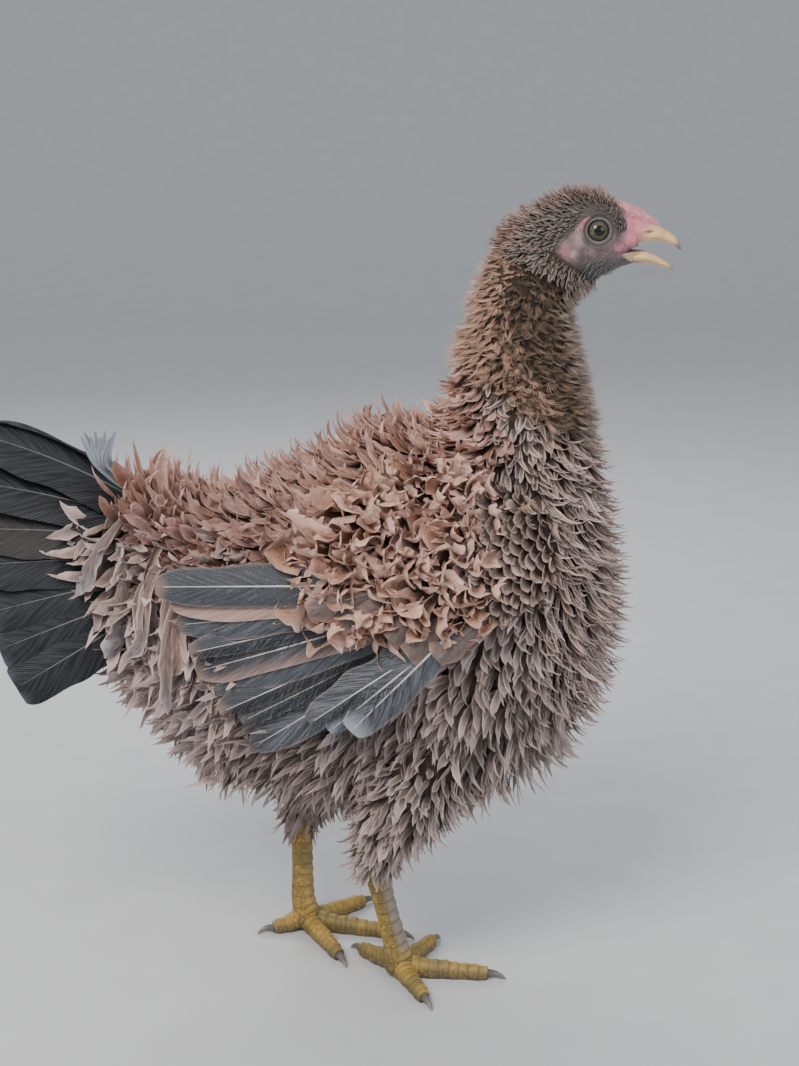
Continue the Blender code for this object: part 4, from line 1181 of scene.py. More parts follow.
def vane_piece(name, vanes, replaced, finishes):
    """One object from many vanes, each with its own shaft."""
    points, faces, chosen = [], [], []
    marks = {"along": [], "across": [], "luck": [], "warmth": [], "mauve": [], "frost": []}

    def add(grids, extra, made_faces, which):
        first = len(points)
        points.extend(in_frame(grids).reshape(-1, 3).tolist())
        for key in marks:
            value = extra.get(key, 0.0)
            marks[key].extend(np.broadcast_to(value, grids.shape[:-1]).ravel().tolist())
        made = [tuple(first + p for p in face) for face in made_faces]
        faces.extend(made)
        chosen.extend([which] * len(made))

    for vane in vanes:
        upper, t, s, proud = vane["points"]
        rows, columns = t.shape
        lower = upper - proud * (VANE_THICKNESS * (1 - 0.8 * np.abs(s)))[..., None]
        upper = upper + proud * (0.15 * (1 - np.abs(s)))[..., None]
        sheet = rows * columns
        made = []
        for i in range(rows - 1):
            for k in range(columns - 1):
                quad = [i * columns + k, i * columns + k + 1]
                quad += [quad[1] + columns, quad[0] + columns]
                made += [quad, [p + sheet for p in reversed(quad)]]
        rim = [i * columns for i in range(rows)]
        rim += [(rows - 1) * columns + k for k in range(1, columns)]
        rim += [i * columns + columns - 1 for i in reversed(range(rows - 1))]
        rim += [k for k in reversed(range(1, columns - 1))]
        made += [(a, b, b + sheet, a + sheet) for a, b in zip(rim, rim[1:] + rim[:1])]
        traits = {key: vane.get(key, 0.0) for key in ("luck", "warmth", "mauve", "frost")}
        add(
            np.stack([upper, lower]),
            {"along": np.stack([t, t]), "across": np.stack([s, s]), **traits}, made, 0,
        )
        middle = upper[::3, columns // 2]
        place, turn = grid_of(np.linspace(0, len(middle) - 1, 24), around(6))
        thin = np.linspace(1.0, 0.2, len(middle))[:, None] * vane.get("shaft", 0.75)
        add(tube_points(middle, thin, turn, place), {}, closed_faces(24, 6), 1)
        for sliver, place, across in vane.get("barbs", ()):
            add(sliver, {**traits, "along": place, "across": across}, closed_faces(8, 5), 0)
    mesh = bpy.data.meshes.new(name)
    mesh.from_pydata(points, [], faces, shade_flat=False)
    for material in finishes:
        mesh.materials.append(material)
    mesh.polygons.foreach_set("material_index", chosen)
    for key, value in marks.items():
        mark(mesh, key, value)
    face_outwards(mesh)
    mesh.set_sharp_from_angle(angle=math.radians(60))
    made = placed(name, mesh)
    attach(made, "root")
    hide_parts(*replaced)
    return made


def along_way(first, last, share):
    return np.asarray(first, float) * (1 - share) + np.asarray(last, float) * share


FLIGHTS = 9
FLIGHT_ROOTS = ((6, 197), (22, 178))  # x and z of the first quill and the last
FLIGHT_ANGLES = (3, 34)  # degrees below level
FLIGHT_LENGTHS = (110, 104)
FLIGHT_WIDTH = 17.5
FLIGHT_LEAN = math.radians(8)
FLIGHT_ROOT_Y = 67
FLIGHT_TIP_Y = (49, 60)
VANE_STEP = 1.3
SHORT_FLIGHTS = ((36, 74), (41, 70), (47, 62))  # degrees below level, and length
WARM_FLIGHTS = {1: 1.0, 4: 0.35}
WORN_FLIGHTS = (3, 6, 7, 9, 10)
FROSTED_FLIGHTS = (10, 11)
SKIRT_COVERTS = 5
for name, side in SIDES.items():
    luck = np.random.default_rng(70 + side)
    vanes = []
    face = np.array((0, side * math.cos(FLIGHT_LEAN), math.sin(FLIGHT_LEAN)))
    for i in range(FLIGHTS + len(SHORT_FLIGHTS)):
        share = min(1, i / (FLIGHTS - 1))
        root = along_way(*FLIGHT_ROOTS, share)
        angle = along_way(*FLIGHT_ANGLES, share)
        length = along_way(*FLIGHT_LENGTHS, share)
        y_root = FLIGHT_ROOT_Y - VANE_STEP * i
        y_tip = along_way(*FLIGHT_TIP_Y, share) - VANE_STEP * i
        if i >= FLIGHTS:
            angle, length = SHORT_FLIGHTS[i - FLIGHTS]
            y_root = FLIGHT_ROOT_Y + VANE_STEP * (i - FLIGHTS + 1)
            y_tip = y_root - 6
        angle = math.radians(angle + luck.uniform(-1, 1))
        length *= luck.uniform(0.95, 1.0)
        tip = root - length * np.array((math.cos(angle), math.sin(angle)))
        worn = i in WORN_FLIGHTS
        points = vane_points(
            (root[0], side * y_root, root[1]), (tip[0], side * y_tip, tip[1]),
            FLIGHT_WIDTH, face, 0.05, broad_blade, luck, ragged=0.08 + 0.05 * worn,
            hook=0.05 * (i >= FLIGHTS) + luck.uniform(-0.03, 0.05),
        )
        vane = {
            "points": points, "luck": 1.0 if i == 0 else luck.random(),
            "warmth": WARM_FLIGHTS.get(i, 0.0) * side, "frost": 0.8 * (i in FROSTED_FLIGHTS),
        }
        if worn:
            upper, t, s, proud = points
            shrink = np.where(s * side > 0, 0.42, 0.0) * soft_step(t, 0.15, 0.4)
            middle = upper[:, 5:6]
            vane["barbs"] = loose_barbs(points, 46, luck, side, 12.5)
            vane["points"] = (upper + (middle - upper) * shrink[..., None], t, s, proud)
        vanes.append(vane)
    vane_piece(
        f"flight_feathers_{name}", vanes, (f"wing_{name}",), (slate, ivory)
    )

    # Large mauve coverts with rusty rims lap the roots of the flights.
    skirt = []
    for i in range(SKIRT_COVERTS):
        root = np.array((36 - 11 * i, 182 + 3.0 * i))
        angle = math.radians(34 - 3 * i + luck.uniform(-9, 9))
        tip = root - luck.uniform(23, 33) * np.array((math.cos(angle), math.sin(angle)))
        skirt.append({
            "points": vane_points(
                (root[0], side * (66 + 0.7 * i), root[1]),
                (tip[0], side * (69.5 + 0.7 * i), tip[1]),
                luck.uniform(12, 17), face, 0.10, round_blade, luck, ragged=0.2,
                cup=0.5, hook=luck.uniform(0.1, 0.4), twist=luck.uniform(-0.7, 0.9) * side,
            ),
            "luck": luck.random(), "mauve": 0.9, "shaft": 0.3,
        })
    vane_piece(f"skirt_coverts_{name}", skirt, (f"wing_{name}",), (slate, slate))

# The tail: broad dark rectrices in a steep fan, with spoon-shaped lilac
# coverts hanging over their roots and salmon plumes standing on the rump.
TAIL_VANES = 7
TAIL_ROOTS = ((-124, 216), (-126, 168))
TAIL_ANGLES = (28, -34)  # degrees above level
TAIL_LENGTHS = (66, 50)
TAIL_Y = (2.2, 2.0)
TAIL_LEANS = (48, 8)
TAIL_SPLAY = (3, 15)
TAIL_WIDTH = 25
dark, wire, inputs, along, reach, luck, streak = vane_finish("dark_vanes", 34, 7, specular=0.22)
barbs = barb_lines(along, reach, 40, 6)
colour = wire.mix((0.008, 0.009, 0.011), (0.038, 0.043, 0.050), streak.ramp(0.3, 0.75))
colour = wire.mix(colour, (0.075, 0.056, 0.043), luck.ramp(0.6, 0.95) * 0.3)
pale_rim = along.ramp(0.84, 1.0) * reach.ramp(0.3, 1.0) * 0.6
colour = wire.mix(colour, (0.170, 0.190, 0.220), pale_rim)
colour = wire.mix(colour, (0.300, 0.330, 0.380), wire.reading("frost"))
feed(
    inputs, Base_Color=colour.shade(barbs * 0.16 + 0.86), Normal=bumped(barbs + streak, 0.4, 0.0005)
)
horn_dark = shaft_finish("dark_shafts", 0.4, (0.070, 0.072, 0.078), (0.150, 0.150, 0.155))
vanes = []
luck = np.random.default_rng(81)
for side in SIDES.values():
    for i in range(TAIL_VANES):
        share = i / (TAIL_VANES - 1)
        root = along_way(*TAIL_ROOTS, share)
        angle = math.radians(along_way(*TAIL_ANGLES, share) + luck.uniform(-2, 2))
        length = along_way(*TAIL_LENGTHS, share)
        tip = root + length * np.array((-math.cos(angle), math.sin(angle)))
        lean = math.radians(along_way(*TAIL_LEANS, share))
        y_root = TAIL_Y[0] + TAIL_Y[1] * i
        y_tip = y_root + along_way(*TAIL_SPLAY, share)
        vanes.append({
            "points": vane_points(
                (root[0] + 10, side * y_root, root[1]), (tip[0], side * y_tip, tip[1]), TAIL_WIDTH,
                np.array((0, side * math.cos(lean), math.sin(lean))), 0.07, broad_blade, luck,
                ragged=0.07, cup=0.22, hook=luck.uniform(-0.02, 0.08),
            ),
            "luck": luck.random(), "shaft": 0.55,
        })
    # A pale tuft stands on the tail's root.
    for lean in (-0.3, -0.1, 0.1, 0.3):
        foot = np.array((-119, 3 * side, 221))
        vanes.append({
            "points": ribbon_points(
                [foot, foot + (-7, side, 7 + 2 * lean), foot + (-12 + 7 * lean, side * 3, 15),
                 foot + (-13 + 22 * lean, side * (3 + 5 * lean), 25)],
                (1.5, 3.0, 3.6, 0.8), (0, side, 0.3),
            ),
            "luck": luck.random(), "frost": 1.0, "shaft": 0.3,
        })
vane_piece("tail_vanes", vanes, ("tail",), (dark, horn_dark))

# Tail coverts: lilac spoons that hang from narrow stalks, and narrow straps.
# Each is given by where it starts and ends, x, z and x, z, its breadth and warmth.
lilac, wire, inputs, along, reach, luck, streak = vane_finish(
    "lilac_spoons", 16, 3, specular=0.35, sheen=0.2
)
colour = wire.mix((0.200, 0.140, 0.120), (0.190, 0.165, 0.175), along.ramp(0.35, 0.75))
colour = wire.mix(colour, (0.440, 0.400, 0.425), along.ramp(0.6, 1.0) * luck.ramp(0.2, 0.8))
colour = wire.mix(colour, (0.480, 0.310, 0.250), wire.reading("warmth"))
colour = wire.mix(colour, (0.680, 0.560, 0.520), reach.ramp(0.62, 1.0) * 0.7)
feed(
    inputs, Base_Color=colour.shade(streak.ramp(0.25, 0.75) * 0.7 + 0.42 + reach * 0.2),
    Normal=bumped(streak, 0.6, 0.0005),
)
SPOON_WIDTHS = (0.25, 0.4, 0.62, 0.9, 1.1, 0.95, 0.25)  # shares of its breadth, root to end
SPOONS = (
    (-104, 224, -131, 172, 12.5, 0.3), (-109, 221, -138, 166, 10, 0.0),
    (-100, 219, -123, 165, 11, 0.0), (-106, 210, -129, 152, 9, 0.0),
    (-96, 217, -111, 178, 12, 1.0), (-94, 206, -113, 160, 9.5, 0.6),
    (-112, 214, -141, 181, 9, 0.0), (-101, 226, -121, 196, 11, 0.9),
    (-90, 222, -104, 190, 11, 1.0),
)
STRAP_WIDTHS = (0.4, 0.7, 0.95, 1.1, 1.0, 0.75, 0.15)
STRAPS = (
    (-98, 194, -112, 150, 5.0, 0.4), (-93, 192, -102, 140, 5.4, 0.6),
    (-90, 180, -99, 132, 4.6, 0.3), (-101, 188, -117, 152, 4.8, 0.2),
    (-87, 190, -96, 150, 5.4, 0.9),
)
vanes = []
luck = np.random.default_rng(85)
for side in SIDES.values():
    for table, widths in ((SPOONS, SPOON_WIDTHS), (STRAPS, STRAP_WIDTHS)):
        for x, z, end_x, end_z, width, warm in table:
            x, z, end_x, end_z = np.array((x, z, end_x, end_z)) + luck.uniform(-1.2, 1.2, 4)
            place = np.interp(x, BODY[:4, 0], (0, 1, 2, 3))
            arc = on_body(np.full(40, place), np.linspace(0.05, math.pi - 0.05, 40), 0.3)
            y = arc[np.abs(arc[:, 2] - z).argmin(), 1]
            out_way = np.array((0, side, 0.0))
            start = np.array((x, side * (y - 1.5), z))
            end = np.array((end_x, side * (y + luck.uniform(2, 9)), end_z + luck.uniform(-2, 7)))
            across = end - start
            arch, sway, flare = luck.uniform(2, 8), luck.uniform(-3, 3), luck.uniform(3, 7)
            spine = [
                start, start + across * 0.18 + (-0.5 * arch, side * 3, arch),
                start + across * 0.42 + (-0.7 * arch, side * flare, 0.9 * arch),
                start + across * 0.62 + (-2 + sway, side * flare, 2),
                start + across * 0.8 + (sway, side * 4, 0),
                start + across * 0.92 + (0.4 * sway, side * 1.5, 0), end,
            ]
            width *= luck.uniform(0.8, 1.25)
            vanes.append({
                "points": ribbon_points(
                    spine, np.array(widths) * width, out_way + (luck.uniform(-0.4, 0.4), 0, 0),
                    cup=luck.uniform(-0.8, 0.5), twist=luck.uniform(-1.2, 1.2),
                    ragged=0.28, luck=luck,
                ),
                "luck": luck.random(), "warmth": warm, "shaft": 0.28,
            })
vane_piece("tail_coverts", vanes, ("tail",), (lilac, lilac))

# Soft lilac tufts fill the underside of the tail's root, and rust plumes stand on
# the rump above it. Both are rooted in the skin round the tail.
lilac_soft = plumage(
    "lilac_plumage", (0.040, 0.028, 0.023), (0.290, 0.195, 0.165), (0.215, 0.175, 0.175),
    (0.600, 0.450, 0.420), (0.640, 0.510, 0.480), tipped=0.8, edged=0.8, vein=-0.1,
)
TAIL_CORE = (-125, 0, 180)
place, turn = grid_of(np.linspace(0.1, 4.4, 40), np.linspace(0.6, math.tau - 0.6, 60))
grow(
    "tail_root_feathers", on_body(place, turn), TAIL_CORE, (-0.5, 0, -0.86),
    fading(place, 0.4, 4.1, 0.3), {"long": 25.0, "wide": 5.6, "rise": 16.0, "curl": 92.0},
    lilac_soft, "tail_feathers", ("tail",),
    Seed=91, Spacing=0.0038, Cup=0.5, Hook=0.3, Sway=0.5, Crumple=1.2, Spin=0.6, Twist=1.2,
    Unevenness=0.34,
)
place, turn = grid_of(np.linspace(0.1, 3.4, 30), np.linspace(-0.85, 0.85, 24))
grow(
    "rump_plumes", on_body(place, turn), TAIL_CORE, (-1, 0, 0.3), soft_step(place, 1.0, 2.0),
    {"long": 27.0, "wide": 5.6, "rise": 42.0, "curl": 112.0}, rust, "tail_feathers", ("tail",),
    Seed=92, Spacing=0.0040, Cup=0.5, Hook=0.4, Sway=0.25, Crumple=0.6, Spin=0.45, Twist=0.8,
    Unevenness=0.3,
)

# The thighs' feathers: soft narrow petals of the belly's colours, rooted all round
# the drumstick, that hang down each leg and end at the hock.
for name, side in SIDES.items():
    place, turn = grid_of(np.linspace(0.05, 4.3, 40), np.linspace(0, math.tau, 60))
    points, hock, knee = thigh_points(LEGS[name], place, turn)
    grow(
        f"thigh_feathers_{name}", points, (hock + knee) / 2, unit(hock - knee),
        np.ones_like(place), {"long": 17.0, "wide": 3.6, "rise": 8.0, "curl": 78.0}, dusk,
        "body_plumage", (f"thigh_{name}",),
        Seed=100 + side, Spacing=0.0034, Cup=0.3, Hook=0.2, Sway=0.3, Crumple=0.6, Spin=0.4,
        Unevenness=0.28,
    )

# The head's skin: thin bare skin on the skull, pink round the eye and at
# the bill's root, grey and folded at chin and throat. Lids, the two-lobed ear
# lobe and the corner of the mouth are folds of the same skin.
GAPE = (93.6, 325.7)  # the corner of the mouth, x and z
BARE = np.array([  # the outline of the bare face, x and z
    (104, 346), (94.0, 344.8), (94.8, 340.6), (96.4, 337.3), (95.6, 334.7), (90.6, 334.0),
    (89.4, 336.5), (88.6, 338.8), (86.4, 340.8), (82.9, 341.7), (79.6, 341.2), (77.0, 339.8),
    (72.5, 335), (69.8, 332.4), (65.4, 331.0), (64.8, 327), (65.8, 323.6), (72, 321.0), (80, 316.5),
    (92, 314), (104, 318),
])
MOUTH_REACH, MOUTH_TOP, MOUTH_LOW = 106, 330.1, 325.4
SKULL_FORMS = (  # where, how far on each axis and how high
    ((85, 12, 344.5), (8, 7, 2.6), 0.9),
    ((94.5, 9, 333.5), (3.6, 9, 2.6), -0.9),
    ((76.5, 14, 324.5), (6.5, 8, 4.0), 0.7),
    ((88, 11, 322.5), (7, 8, 2.4), 0.6),
    ((75, 14, 332.5), (2.6, 8, 4.2), -0.5),
)
BLUSHES = (  # the same for the pink of the bare face
    ((69.4, 15, 326.8), (3.6, 9, 4.2), 0.6),
    ((75.6, 12, 337.4), (2.8, 9, 3.2), 0.8),
    ((100, 6, 338), (5.5, 9, 6), 1.5),
    ((97.6, 6, 331.5), (3.4, 9, 3.4), 0.9),
    ((93.0, 9, 328.0), (3, 9, 2.0), 0.8),
    ((78.2, 12, 340.6), (3.6, 9, 1.3), 0.8),
    ((89, 11, 329.6), (4.5, 9, 1.8), 0.4),
    ((80, 12, 326.4), (5, 9, 1.5), 0.3),
)
EYE_RADIUS = 5.5
EYE_AXIS = np.array((0.14, 0.99, 0.02))
LID_SECTION = np.array([  # distance from the eye's axis, and height along it
    (4.55, 3.25), (4.66, 3.85), (4.95, 4.15), (5.35, 4.2), (5.8, 3.85), (6.4, 4.2), (7.0, 4.45),
    (7.7, 4.5), (7.8, 3.2), (5.9, 2.1), (4.8, 1.9), (4.55, 2.4), (4.55, 3.25),
])


def on_one_side(points):
    """Points of both halves of the head brought to one."""
    return points * (1, 0, 1) + np.abs(points) * (0, 1, 0)


def hump(points, centre, reach, height):
    """A soft rise round a centre, of a reach on each axis."""
    away = ((points - np.asarray(centre, float)) / np.asarray(reach, float)) ** 2
    return height * np.exp(-away.sum(-1))


def shaped_head(points):
    """The skull's own forms over its plain rings, alike on both sides."""
    run = np.gradient(points, axis=0)
    side = np.gradient(points, axis=1)
    side[:, 0] = points[:, 1] - points[:, -1]
    side[:, -1] = points[:, 0] - points[:, -2]
    out = unit(np.cross(side, run), 1e-12)
    out *= np.sign((out * (points - points.mean(axis=1, keepdims=True))).sum(-1).mean())
    even = on_one_side(points)
    lift = sum(hump(even, *form) for form in SKULL_FORMS)
    from_eye = np.linalg.norm((even - EYE)[..., (0, 2)], axis=-1)
    brow = 0.35 * np.exp(-((from_eye - 8.4) / 0.9) ** 2)
    socket = -2.9 * (1 - soft_step(from_eye, 6.1, 7.4)) + brow
    lift += np.where(even[..., 1] > 5, socket, 0)
    return points + out * lift[..., None]


def ring_faces(rings, sides):
    """Faces of a closed ring whose section is a closed loop."""
    faces = []
    for i in range(rings):
        here, ahead = i * sides, (i + 1) % rings * sides
        for k in range(sides):
            beside = (k + 1) % sides
            faces.append((here + k, here + beside, ahead + beside, ahead + k))
    return faces


def eye_frame(side):
    """The directions of an eye's axis, forwards and upwards."""
    axis = unit(EYE_AXIS * (1, side, 1))
    ahead = unit(np.cross(axis, (0, 0, 1)) * -side)
    return axis, ahead, np.cross(ahead, axis) * side


def on_eye(side, polar, turn, radius):
    axis, ahead, upward = eye_frame(side)
    local = (
        axis * np.cos(polar)[..., None]
        + ahead * (np.sin(polar) * np.cos(turn))[..., None]
        + upward * (np.sin(polar) * np.sin(turn))[..., None]
    )
    return EYE * (1, side, 1) + local * np.broadcast_to(radius, polar.shape)[..., None]


def lids(side):
    """Both lids as one ring, creased in circles, a little longer than high."""
    last = len(LID_SECTION) - 1
    turn, step = grid_of(around(80), np.linspace(0, last, 52, endpoint=False))
    reach, high = np.moveaxis(rows_at(LID_SECTION, step), -1, 0)
    outer = step < 7.5
    reach = reach + np.where(reach < 5.6, 0.16 * np.cos(2 * (turn + 0.25)), 0)
    high = high + np.where(outer, 0.07 * np.sin((reach - 4.3) * math.tau * 1.35), 0)
    axis, ahead, upward = eye_frame(side)
    away = ahead * np.cos(turn)[..., None] + upward * np.sin(turn)[..., None]
    return EYE * (1, side, 1) + axis * high[..., None] + away * reach[..., None]


def blob(centre, size, side=1, rings=20, sides=28):
    polar, turn = grid_of(np.linspace(0.06, math.pi - 0.06, rings), around(sides))
    local = np.stack([
        np.sin(polar) * np.cos(turn), np.cos(polar), np.sin(polar) * np.sin(turn)
    ], -1)
    return (local * size + np.asarray(centre, float)) * (1, side, 1)


def lip(side):
    """The fleshy rim of the gape, from the upper bill round its corner to the lower."""
    line = [
        (100.8, 5.4, 329.4), (99.0, 6.6, 328.9), (96.6, 8.0, 327.8), (93.9, 9.4, 326.6),
        (93.0, 9.7, 325.9), (94.2, 9.2, 325.4), (97.0, 7.6, 325.5), (99.2, 6.2, 325.7),
        (100.8, 5.2, 325.8),
    ]
    place, turn = grid_of(np.linspace(0, len(line) - 1, 50), around(14))
    radii = [(0.2,), (0.5,), (0.75,), (0.9,), (0.95,), (0.85,), (0.65,), (0.45,), (0.2,)]
    return tube_points(np.array(line) * (1, side, 1), radii, turn, place)


face_finish, wire, inputs = finish("face_skin", roughness=0.62, specular=0.35, sheen=0.08)
blush, soot, olive, ring, gum = (
    wire.reading(name) for name in ("blush", "soot", "olive", "ring", "gum")
)
pores = wire.cells("SMOOTH_F1", 1150.0, Smoothness=0.4)
mottle = wire.noise(260, 4, 0.6)
folds = wire.noise(700, 3, 0.6, distortion=0.6)
colour = wire.mix((0.070, 0.057, 0.058), (0.180, 0.120, 0.126), mottle.ramp(0.3, 0.7))
colour = wire.mix(colour, (0.560, 0.190, 0.235), (blush * (mottle * 1.1 + 0.35)).ramp(0.1, 1.0))
colour = wire.mix(colour, (0.350, 0.240, 0.225), wire.reading("cream") * (mottle * 0.8 + 0.4))
colour = wire.mix(colour, (0.062, 0.058, 0.058), soot * (mottle * 0.5 + 0.7))
# Dark brown where the bristles grow: the hide's colour, made dark as painted shade for the gaps
# between them.
colour = wire.mix(colour, (0.060, 0.050, 0.045), wire.reading("under"))
colour = wire.mix(colour, (0.135, 0.130, 0.112), olive * (mottle * 0.4 + 0.75))
colour = wire.mix(colour, (0.048, 0.042, 0.038), ring)
colour = wire.mix(colour, (0.640, 0.430, 0.240), wire.reading("horny") * 0.9)
colour = wire.mix(colour, (0.130, 0.032, 0.032), gum)
feed(
    inputs, Base_Color=colour.shade(pores * 0.45 + 0.82),
    Normal=bumped(pores * 0.7 + folds * 0.8, 0.55, 0.0005),
)

place, turn = grid_of(np.linspace(NAPE - 0.6, BILL_ROOT, 120), around(112))
shells = [shaped_head(on_body(place, turn, extra=0.15 + 1.4 * (1 - soft_step(place, 17.7, 18.8))))]
for side in SIDES.values():
    shells.append(blob((69.0, 14.5, 327.4), (4.1, 2.2, 4.1), side))
    shells.append(blob((72.6, 14.0, 325.2), (2.9, 2.1, 2.8), side))
    shells.append(lip(side))
head_skin = piece_of("head_skin", shells, face_finish)
wedge = piece_of("wedge", [np.array([
    [(GAPE[0], y, GAPE[1] - 0.1), (GAPE[0], y, GAPE[1] + 0.1), (MOUTH_REACH, y, MOUTH_TOP - 0.4),
     (MOUTH_REACH, y, MOUTH_LOW + 0.2)] for y in (-14, 14)
], float)], face_finish)
first_skin = piece_of("first_skin", [shells[0]], face_finish)
cut = first_skin.modifiers.new("mouth", "BOOLEAN")
cut.operation, cut.object, cut.solver = "DIFFERENCE", wedge, "EXACT"
settle(first_skin)
bpy.data.objects.remove(wedge)
folded = bmesh.new()
folded.from_mesh(first_skin.data)
rims = [(lids(side), ring_faces) for side in SIDES.values()]
for shell, faces_of in rims + [(shell, closed_faces) for shell in shells[1:]]:
    corners = [folded.verts.new(p) for p in in_frame(shell).reshape(-1, 3)]
    made = [folded.faces.new([corners[k] for k in face]) for face in faces_of(*shell.shape[:2])]
    bmesh.ops.recalc_face_normals(folded, faces=made)
folded.to_mesh(head_skin.data)
folded.free()
bpy.data.objects.remove(first_skin)
fuse(head_skin, voxel=0.38)


def body_places(mesh):
    """A mesh's points in body measures."""
    spots = np.zeros(len(mesh.vertices) * 3, np.float32)
    mesh.vertices.foreach_get("co", spots)
    return (spots.reshape(-1, 3) - SHIFT) / MM


def tint(mesh, **shares):
    """Keeps how much of each colour shows at a mesh's points, 0 to 1."""
    for name, share in shares.items():
        mark(mesh, name, np.clip(share, 0, 1))


even = on_one_side(body_places(head_skin.data))
axis, ahead, upward = eye_frame(1)
from_axis = np.linalg.norm((even - EYE) - np.outer((even - EYE) @ axis, axis), axis=-1)
outside = soft_step(even[:, 1], 9.5, 11.5)
below = soft_step(EYE[2] - even[:, 2], 0.5, 4.5)
blush = sum(hump(even, *patch) for patch in BLUSHES)
cream = hump(even, (74.4, 14, 332.0), (2.6, 9, 3.6), 1.0)
cream = cream + hump(even, (72.6, 14, 325.2), (2.0, 9, 2.2), 0.8)
rim = soft_step(from_axis, 4.3, 4.6) * (1 - soft_step(from_axis, 5.2, 5.7))
band = soft_step(from_axis, 5.3, 5.8) * (1 - soft_step(from_axis, 6.4, 7.2)) * 0.85
folds = soft_step(from_axis, 5.6, 6.4) * (1 - soft_step(from_axis, 7.6, 9.0)) * below * 0.5
mouth_half = 9.0 * (104 - even[:, 0]) / 10
gum = soft_step(even[:, 0], 93.6, 95) * (even[:, 2] > 324.6) * (even[:, 2] < 330.5)
gum = gum * (1 - soft_step(even[:, 1], 0.72 * mouth_half, 0.9 * mouth_half))
low_edge = 324.2 - 2.6 * soft_step(even[:, 0], 93.6, 99)
horny = soft_step(even[:, 0], 93.2, 95.6) * soft_step(even[:, 2] - low_edge, -0.5, 0.7)
tint(
    head_skin.data,
    blush=blush * (1 - soft_step(6.9 - from_axis, 0, 0.8) * outside),
    cream=cream,
    soot=soft_step(325 - even[:, 2], 0, 6) * (1 - 0.8 * blush.clip(0, 1)),
    under=1 - soft_step(depth_inside(even[:, (0, 2)], BARE), -0.9, 0.5),
    olive=rim * outside,
    ring=(np.maximum(band, folds) + (from_axis < 4.4) * 0.8) * outside,
    gum=gum,
    horny=horny * (even[:, 2] < 325.6) * (1 - gum),
)
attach(head_skin, "root")
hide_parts("head")

# The eyes: wet balls with a clear bulge, a round black pupil and an iris of
# brown-olive fibres, set under the lids.
PUPIL, IRIS = 2.3, 4.4  # radii as seen from the side
BULGE, BULGE_REACH = 0.30, 3.5
eye_finish, wire, inputs = finish("eyeball", roughness=0.10, specular=0.35, coat=0.2)
inputs["Coat Roughness"].default_value = 0.02
out, turned = wire.reading("from_pupil"), wire.reading("round_eye")
fibres = wire.grain(turned * 26, out * 0.5, 0.0, roughness=0.7)
iris = wire.mix((0.034, 0.030, 0.023), (0.105, 0.090, 0.066), fibres.ramp(0.3, 0.7))
iris = wire.mix((0.135, 0.105, 0.058), iris, out.ramp(2.35, 2.8))
iris = wire.mix((0.003, 0.003, 0.003), iris, out.ramp(PUPIL - 0.10, PUPIL + 0.10))
iris = wire.mix(iris, (0.014, 0.012, 0.010), out.ramp(IRIS - 0.7, IRIS))
feed(inputs, Base_Color=iris)
for name, side in SIDES.items():
    polar, turn = grid_of(np.linspace(0.004, math.pi - 0.004, 60), around(72))
    seen = EYE_RADIUS * np.sin(polar)
    swell = BULGE * np.clip(1 - (seen / BULGE_REACH) ** 2, 0, 1)
    bulge = np.where(polar < math.pi / 2, swell, 0)
    ball = piece_of(f"eyeball_{name}", [on_eye(side, polar, turn, EYE_RADIUS + bulge)], eye_finish)
    seen = np.where(polar < math.pi / 2, seen, 9)
    mark(ball.data, "from_pupil", seen)
    mark(ball.data, "round_eye", np.abs(turn / math.pi - 1))
    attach(ball, "root")
    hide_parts(f"eye_{name}")

# The comb: low, soft and pebbled, a young bird's. It is a ridge of pink flesh that
# stands on the skull along the bill's root.
COMB = [  # rings as on the body
    (90.8, 346.6, 91.4, 341, 1.0),
    (93.4, 346.6, 94, 340, 2.1),
    (97.8, 345.6, 98, 338.5, 2.9),
    (102.2, 343.9, 102.6, 336.8, 2.8),
    (106, 341.2, 106.4, 336.0, 1.9),
    (110.4, 338.0, 110.2, 336.2, 0.5),
]
PEBBLES, PEBBLE_REACH, PEBBLE_HEIGHT = 70, 0.7, 0.32
comb_finish, wire, inputs = finish("comb_flesh", roughness=0.5, specular=0.45, sheen=0.1)
pebble = wire.cells("SMOOTH_F1", 820.0, Smoothness=0.3)
mottle = wire.noise(320, 4, 0.6)
colour = wire.mix((0.520, 0.170, 0.215), (0.700, 0.330, 0.370), mottle.ramp(0.3, 0.7))
feed(
    inputs, Base_Color=colour.shade(1.1 - pebble * 0.35),
    Normal=bumped(1 - pebble, 0.8, 0.0006),
)
place, turn = grid_of(np.linspace(0, len(COMB) - 1, 60), around(44))
points = ring_points(rows_at(np.array(COMB), place), turn, 0.0)
luck = np.random.default_rng(5)
centre = points.mean(axis=1, keepdims=True)
for _ in range(PEBBLES):
    pebble_place = points[luck.integers(4, 56), luck.integers(0, 44)]
    away = np.linalg.norm(points - pebble_place, axis=-1)
    push = np.exp(-(away / PEBBLE_REACH) ** 2) * PEBBLE_HEIGHT
    points = points + unit(points - centre, 1e-9) * push[..., None]
comb = piece_of("comb_flesh", [points], comb_finish)
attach(comb, "root")
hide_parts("comb")

